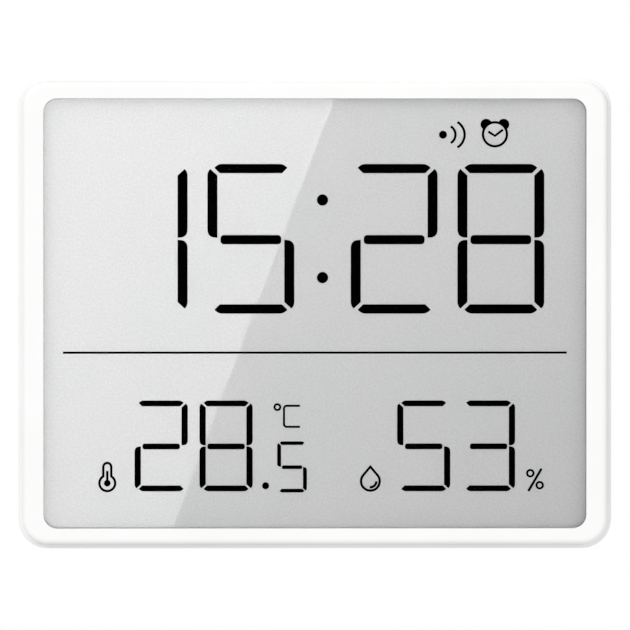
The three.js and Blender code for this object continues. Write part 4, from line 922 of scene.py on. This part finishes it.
# %% [markdown]
# Rear case, battery door and leg
#
# The deep shell at the back carries every detail of the construction: the recess of the buttons, the slots
# over the sensor, the pocket of the leg and the hanging slot. Redrawing all that would only risk a mismatch,
# so we copy its mesh, join the flat triangles into whole faces, and let a Bevel modifier break the edges that
# can be seen. A mould never gives a perfectly sharp edge, and the thin light lines on the edges come from
# that.

# %% Softened copies
FLAT = np.radians(0.3)
SAME_PLACE = 1e-6


def softened(name, node, body, width, depth):
    """A white copy of a node's mesh with merged points and whole flat faces. Sharp edges whose two ends lie
    no further than a depth in front of the back face get a bevel weight."""
    mesh = frame["nodes"][node].data.copy()
    mesh.name = name
    work = bmesh.new()
    work.from_mesh(mesh)
    bmesh.ops.remove_doubles(work, verts=work.verts, dist=SAME_PLACE)
    bmesh.ops.dissolve_limit(work, angle_limit=FLAT, verts=work.verts, edges=work.edges)
    weight = work.edges.layers.float.new("bevel_weight_edge")
    near = [edge for edge in work.edges if min(point.co.y for point in edge.verts) > case_high.y - depth]
    marked = [edge for edge in near if edge.calc_face_angle(0) > SHARP]
    for edge in marked:
        edge[weight] = 1
    work.to_mesh(mesh)
    work.free()
    thing = new_object(name, mesh)
    mesh.materials.clear()
    mesh.materials.append(white_plastic)
    mesh.polygons.foreach_set("use_smooth", np.full(len(mesh.polygons), True))
    mesh.set_sharp_from_angle(angle=SHARP)
    bevel = thing.modifiers.new("soft_edges", "BEVEL")
    bevel.limit_method, bevel.width, bevel.segments = "WEIGHT", width, 2
    bevel.use_clamp_overlap, bevel.harden_normals = False, True
    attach(thing, body)
    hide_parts(node)
    print(f"{name}: {len(marked)} of {len(mesh.edges)} edges softened by {width / MM:.2f} mm")


softened("shell", "rear_case", "case", width=0.15 * MM, depth=1.25 * MM)
softened("door", "battery_door", "battery_door", width=0.12 * MM, depth=0.7 * MM)
softened("leg", "kickstand", "kickstand", width=0.15 * MM, depth=4 * MM)

# %% [markdown]
# Button caps
#
# The three button caps at the back are round, so each is a profile turned about an axis: a ring for
# every point of the profile. A Screw modifier turns a profile too, but the loft is already at hand. A
# cap has a stem that meets the switch, a flange that keeps it in the case, and a shallow dish for the
# finger.

# %% Button caps
TURN_STEPS, EDGE_STEPS = 64, 5
CAP_RADIUS, STEM_RADIUS = 3.5 * MM, 1.5 * MM
FLANGE_THICKNESS, CAP_RISE = 1.0 * MM, 2.64 * MM
DISH, CAP_EDGE = 0.22 * MM, 0.35 * MM
DISH_SHARES = np.linspace(1, 0.06, 9)[1:]
button_plastic = finish("button_plastic", (0.60, 0.60, 0.60), (0.64, 0.64, 0.64), 90, 0.5,
                        grain=(2600, 0.02 * MM, 0.3))


def turned(profile, place, axis):
    """Rings of (radius, distance along the axis) about an axis through a place. The first and the last ring
    are filled. Along Y the ring is (cos, sin) in x and z; for the other axes it is turned with the axis."""
    angle = np.arange(TURN_STEPS) * 2 * np.pi / TURN_STEPS
    radius, along = np.array(profile).T[:, :, None]
    cosine, sine = radius * np.cos(angle), radius * np.sin(angle)
    along = along + 0 * angle
    rings = {"Y": (cosine, along, sine), "Z": (cosine, -sine, along), "X": (along, -cosine, sine)}
    return loft(np.stack(rings[axis], -1) + np.array(place))


def rounded(radius, top, size):
    """Profile points of a round outer edge at a radius and a top, going inwards."""
    turn = np.linspace(0, np.pi / 2, EDGE_STEPS + 1)
    return [(radius - size * (1 - np.cos(t)), top - size * (1 - np.sin(t))) for t in turn]


for number in (1, 2, 3):
    low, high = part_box(f"button_cap_{number}")
    flange_back, flange_radius = high.y - CAP_RISE, (high.x - low.x) / 2
    cap_profile = [
        (STEM_RADIUS, low.y),
        (STEM_RADIUS, flange_back - FLANGE_THICKNESS),
        (flange_radius, flange_back - FLANGE_THICKNESS),
        (flange_radius, flange_back),
        (CAP_RADIUS, flange_back),
        *rounded(CAP_RADIUS, high.y, CAP_EDGE),
        *zip((CAP_RADIUS - CAP_EDGE) * DISH_SHARES, high.y - DISH * (1 - DISH_SHARES ** 2)),
    ]
    middle = ((low.x + high.x) / 2, 0, (low.z + high.z) / 2)
    piece(f"cap_{number}", turned(cap_profile, middle, "Y"), button_plastic,
          body=f"button_{number}", replaces=[f"button_cap_{number}"])

# %% [markdown]
# Battery cells
#
# The clock runs on two cells that stand side by side, one of them on its head. A cell is a steel can in
# a printed jacket that leaves the ends bare. A plain cylinder would hide the dished foot and the raised
# contact, so can and jacket are turned profiles. The colours of the jacket follow the height above the
# foot, which serves for both ways round.

# %% Battery cells
NUB_RADIUS, NUB_LENGTH, NUB_EDGE = 1.9 * MM, 1.2 * MM, 0.25 * MM
NUB_FOOT, NUB_STEP = 0.4 * MM, 0.2 * MM
CAN_EDGE, CAN_FLAT, CAN_SLOPE, CAN_DISH = 0.4 * MM, 1.0 * MM, 0.2 * MM, 0.15 * MM
JACKET_FILM, JACKET_LAP = 0.08 * MM, 0.4 * MM
JACKET_FOOT, JACKET_TOP, JACKET_SINK = 0.12 * MM, 0.02 * MM, 0.1 * MM
JACKET_BANDS = [(0.0, (0.030, 0.075, 0.140, 1)), (0.72, (0.62, 0.64, 0.66, 1)), (0.75, (0.52, 0.24, 0.07, 1))]
bare_steel = finish("bare_steel", (0.50, 0.50, 0.49), (0.62, 0.62, 0.60), 220, 0.32, metallic=1)


def jacket_material(name, foot, rise):
    """A printed jacket: dark for most of its length, with a pale ring and a warm band near the raised
    contact. The bands follow the height above the foot, and rise is the length, negative for a cell that
    stands on its head."""
    material, tree, shader = new_material(name)
    split, share = object_axes(tree), map_range(tree, foot, foot + rise)
    ramp = tree.nodes.new("ShaderNodeValToRGB")
    ramp.color_ramp.interpolation = "CONSTANT"
    ramp.color_ramp.elements.new(JACKET_BANDS[1][0])
    for stop, (position, tone) in zip(ramp.color_ramp.elements, JACKET_BANDS):
        stop.position, stop.color = position, tone
    join(tree, ((split, "Z"), (share, "Value")), ((share, 0), (ramp, "Fac")),
         ((ramp, "Color"), (shader, "Base Color")))
    shader.inputs["Roughness"].default_value = 0.3
    shader.inputs["Metallic"].default_value = 0.4
    fine_grain(tree, shader, 900, 0.02 * MM, 0.15)
    return material


def can_profile(radius, length):
    """A steel can from its dished foot to the raised contact: radius and height above the foot."""
    wall, shoulder = radius - JACKET_FILM, length - NUB_LENGTH
    return [
        (radius - CAN_FLAT - CAN_SLOPE, CAN_DISH),
        (radius - CAN_FLAT, 0),
        (radius - CAN_EDGE, 0),
        (wall, CAN_EDGE),
        (wall, shoulder - CAN_EDGE),
        (radius - CAN_EDGE, shoulder),
        (NUB_RADIUS + NUB_FOOT, shoulder),
        (NUB_RADIUS, shoulder + NUB_STEP),
        *rounded(NUB_RADIUS, length, NUB_EDGE),
    ]


def jacket_profile(radius, length):
    """The jacket round that can: it laps round the edges of both ends."""
    lap, shoulder = radius - CAN_EDGE - JACKET_LAP, length - NUB_LENGTH
    foot_edge = [(r, -z) for r, z in rounded(radius, -JACKET_FOOT, CAN_EDGE)[::-1]]
    top_edge = rounded(radius, shoulder + JACKET_TOP, CAN_EDGE)
    return [(lap, JACKET_FOOT), *foot_edge, *top_edge, (lap, shoulder - JACKET_SINK)]


for number, way in ((1, 1), (2, -1)):
    low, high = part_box(f"battery_{number}")
    axis = ((low.x + high.x) / 2, (low.y + high.y) / 2, 0)
    radius, length = (high.x - low.x) / 2, high.z - low.z
    foot = low.z if way > 0 else high.z
    can, wrap = [[(r, foot + way * z) for r, z in profile(radius, length)][::way]
                 for profile in (can_profile, jacket_profile)]
    jacket = jacket_material(f"jacket_{number}", foot, way * length)
    piece(f"cell_can_{number}", turned(can, axis, "Z"), bare_steel, replaces=[f"battery_{number}"])
    piece(f"cell_jacket_{number}", turned(wrap, axis, "Z"), jacket)

# %% [markdown]
# Springs and pin
#
# The two negative contacts are small conical coils of steel wire. A Screw modifier could make a plain
# coil, but not one that tapers and ends level. So a circle is carried along the coil: one of its
# directions points away from the axis of the coil, and the other is square to that and to the wire. The
# pin of the leg is a turned rod with a chamfer at both ends.

# %% Springs and pin
WIRE, BASE, TIP, TURNS = 0.6 * MM, 6.8 * MM, 4.4 * MM, 3
COIL_STEPS, WIRE_STEPS, FLAT_TURN = 120, 12, 0.5
PIN_CHAMFER = 0.2 * MM


def coil(x, y, foot, top):
    """A conical coil from foot to top: radius shrinks evenly with the turn, and the height stays level for
    half a turn at each end."""
    share = np.linspace(0, 1, COIL_STEPS + 1)
    turn = 2 * np.pi * TURNS * share
    radius = (BASE + (TIP - BASE) * share) / 2
    lift = np.clip((share * TURNS - FLAT_TURN) / (TURNS - 2 * FLAT_TURN), 0, 1)
    way = np.sign(top - foot)
    z = foot + way * WIRE / 2 + (top - foot - way * WIRE) * lift
    path = np.column_stack([x + radius * np.cos(turn), y + radius * np.sin(turn), z])
    ahead = np.gradient(path, axis=0)
    ahead /= np.linalg.norm(ahead, axis=1, keepdims=True)
    away = np.column_stack([np.cos(turn), np.sin(turn), 0 * turn])
    away -= ahead * np.sum(away * ahead, 1, keepdims=True)
    away /= np.linalg.norm(away, axis=1, keepdims=True)
    aside = np.cross(away, ahead)
    angle = np.arange(WIRE_STEPS) * 2 * np.pi / WIRE_STEPS
    section = away[:, None] * np.cos(angle)[:, None] + aside[:, None] * np.sin(angle)[:, None]
    return loft(path[:, None] + WIRE / 2 * section)


for name, cell, upwards in (("bridge_spring", "battery_1", True), ("negative_spring", "battery_2", False)):
    low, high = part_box(name)
    left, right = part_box(cell)
    foot, top = (low.z, high.z) if upwards else (high.z, low.z)
    shape = coil((left.x + right.x) / 2, (left.y + right.y) / 2, foot, top)
    piece(f"{name}_coil", shape, bare_steel, replaces=[name])

low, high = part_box("kickstand_pin")
pin_radius = (high.z - low.z) / 2
pin_profile = [(pin_radius - PIN_CHAMFER, low.x), (pin_radius, low.x + PIN_CHAMFER),
               (pin_radius, high.x - PIN_CHAMFER), (pin_radius - PIN_CHAMFER, high.x)]
pin = turned(pin_profile, (0, (low.y + high.y) / 2, (low.z + high.z) / 2), "X")
piece("pin", pin, bare_steel, body=frame["nodes"]["kickstand_pin"]["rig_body"],
      replaces=["kickstand_pin"])

# %% [markdown]
# The inside
#
# The board, the switches, the tray behind the display and the contacts could be made anew like the
# outside, but the case hides them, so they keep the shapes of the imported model. Each slot gets its own
# finish: a mottled green for the board, dark tones for resin, rubber and tape, nickel for the contacts.

# %% Finishes of the inside
inner_finishes = {
    "white_plastic": white_plastic,
    "inner_plastic": finish("inner_plastic", (0.70, 0.70, 0.69), (0.75, 0.75, 0.74), 80, 0.55),
    "tape": finish("tape", (0.035, 0.035, 0.035), (0.06, 0.06, 0.06), 1500, 0.8),
    "edge_seal": finish("edge_seal", (0.55, 0.53, 0.47), (0.62, 0.60, 0.54), 700, 0.5),
    "cell_glass": cell_glass,
    "zebra_rubber": finish("zebra_rubber", (0.16, 0.10, 0.10), (0.24, 0.16, 0.15), 4000, 0.7),
    "board": finish("board", (0.012, 0.10, 0.045), (0.02, 0.15, 0.07), 350, 0.35,
                    grain=(1200, 0.03 * MM, 0.3)),
    "resin": finish("resin", (0.008, 0.008, 0.008), (0.02, 0.02, 0.02), 500, 0.3),
    "steel": bare_steel,
    "contact": finish("contact", (0.66, 0.62, 0.54), (0.74, 0.70, 0.63), 300, 0.28, metallic=1),
    "sensor_plastic": finish("sensor_plastic", (0.40, 0.56, 0.70), (0.46, 0.62, 0.76), 300, 0.5),
    "red_jacket": finish("red_jacket", (0.42, 0.02, 0.015), (0.52, 0.035, 0.02), 900, 0.4),
    "black_jacket": finish("black_jacket", (0.012, 0.012, 0.012), (0.025, 0.025, 0.025), 900, 0.4),
}
shown = [node for node in frame["nodes"].values() if not node.hide_render]
for node in shown:
    node.data.materials[0] = inner_finishes[node.data.materials[0].name]
print(len(shown), "nodes keep their packed shape:", ", ".join(sorted(node.name for node in shown)))

# %% [markdown]
# Size
#
# The dressed clock has to keep the size of the imported model. The box round all its pieces, without the
# floor and the cards, is measured and printed in millimetres.

# %% Size
low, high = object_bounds()
print("size in mm:", [round((b - a) / MM, 2) for a, b in zip(low, high)])
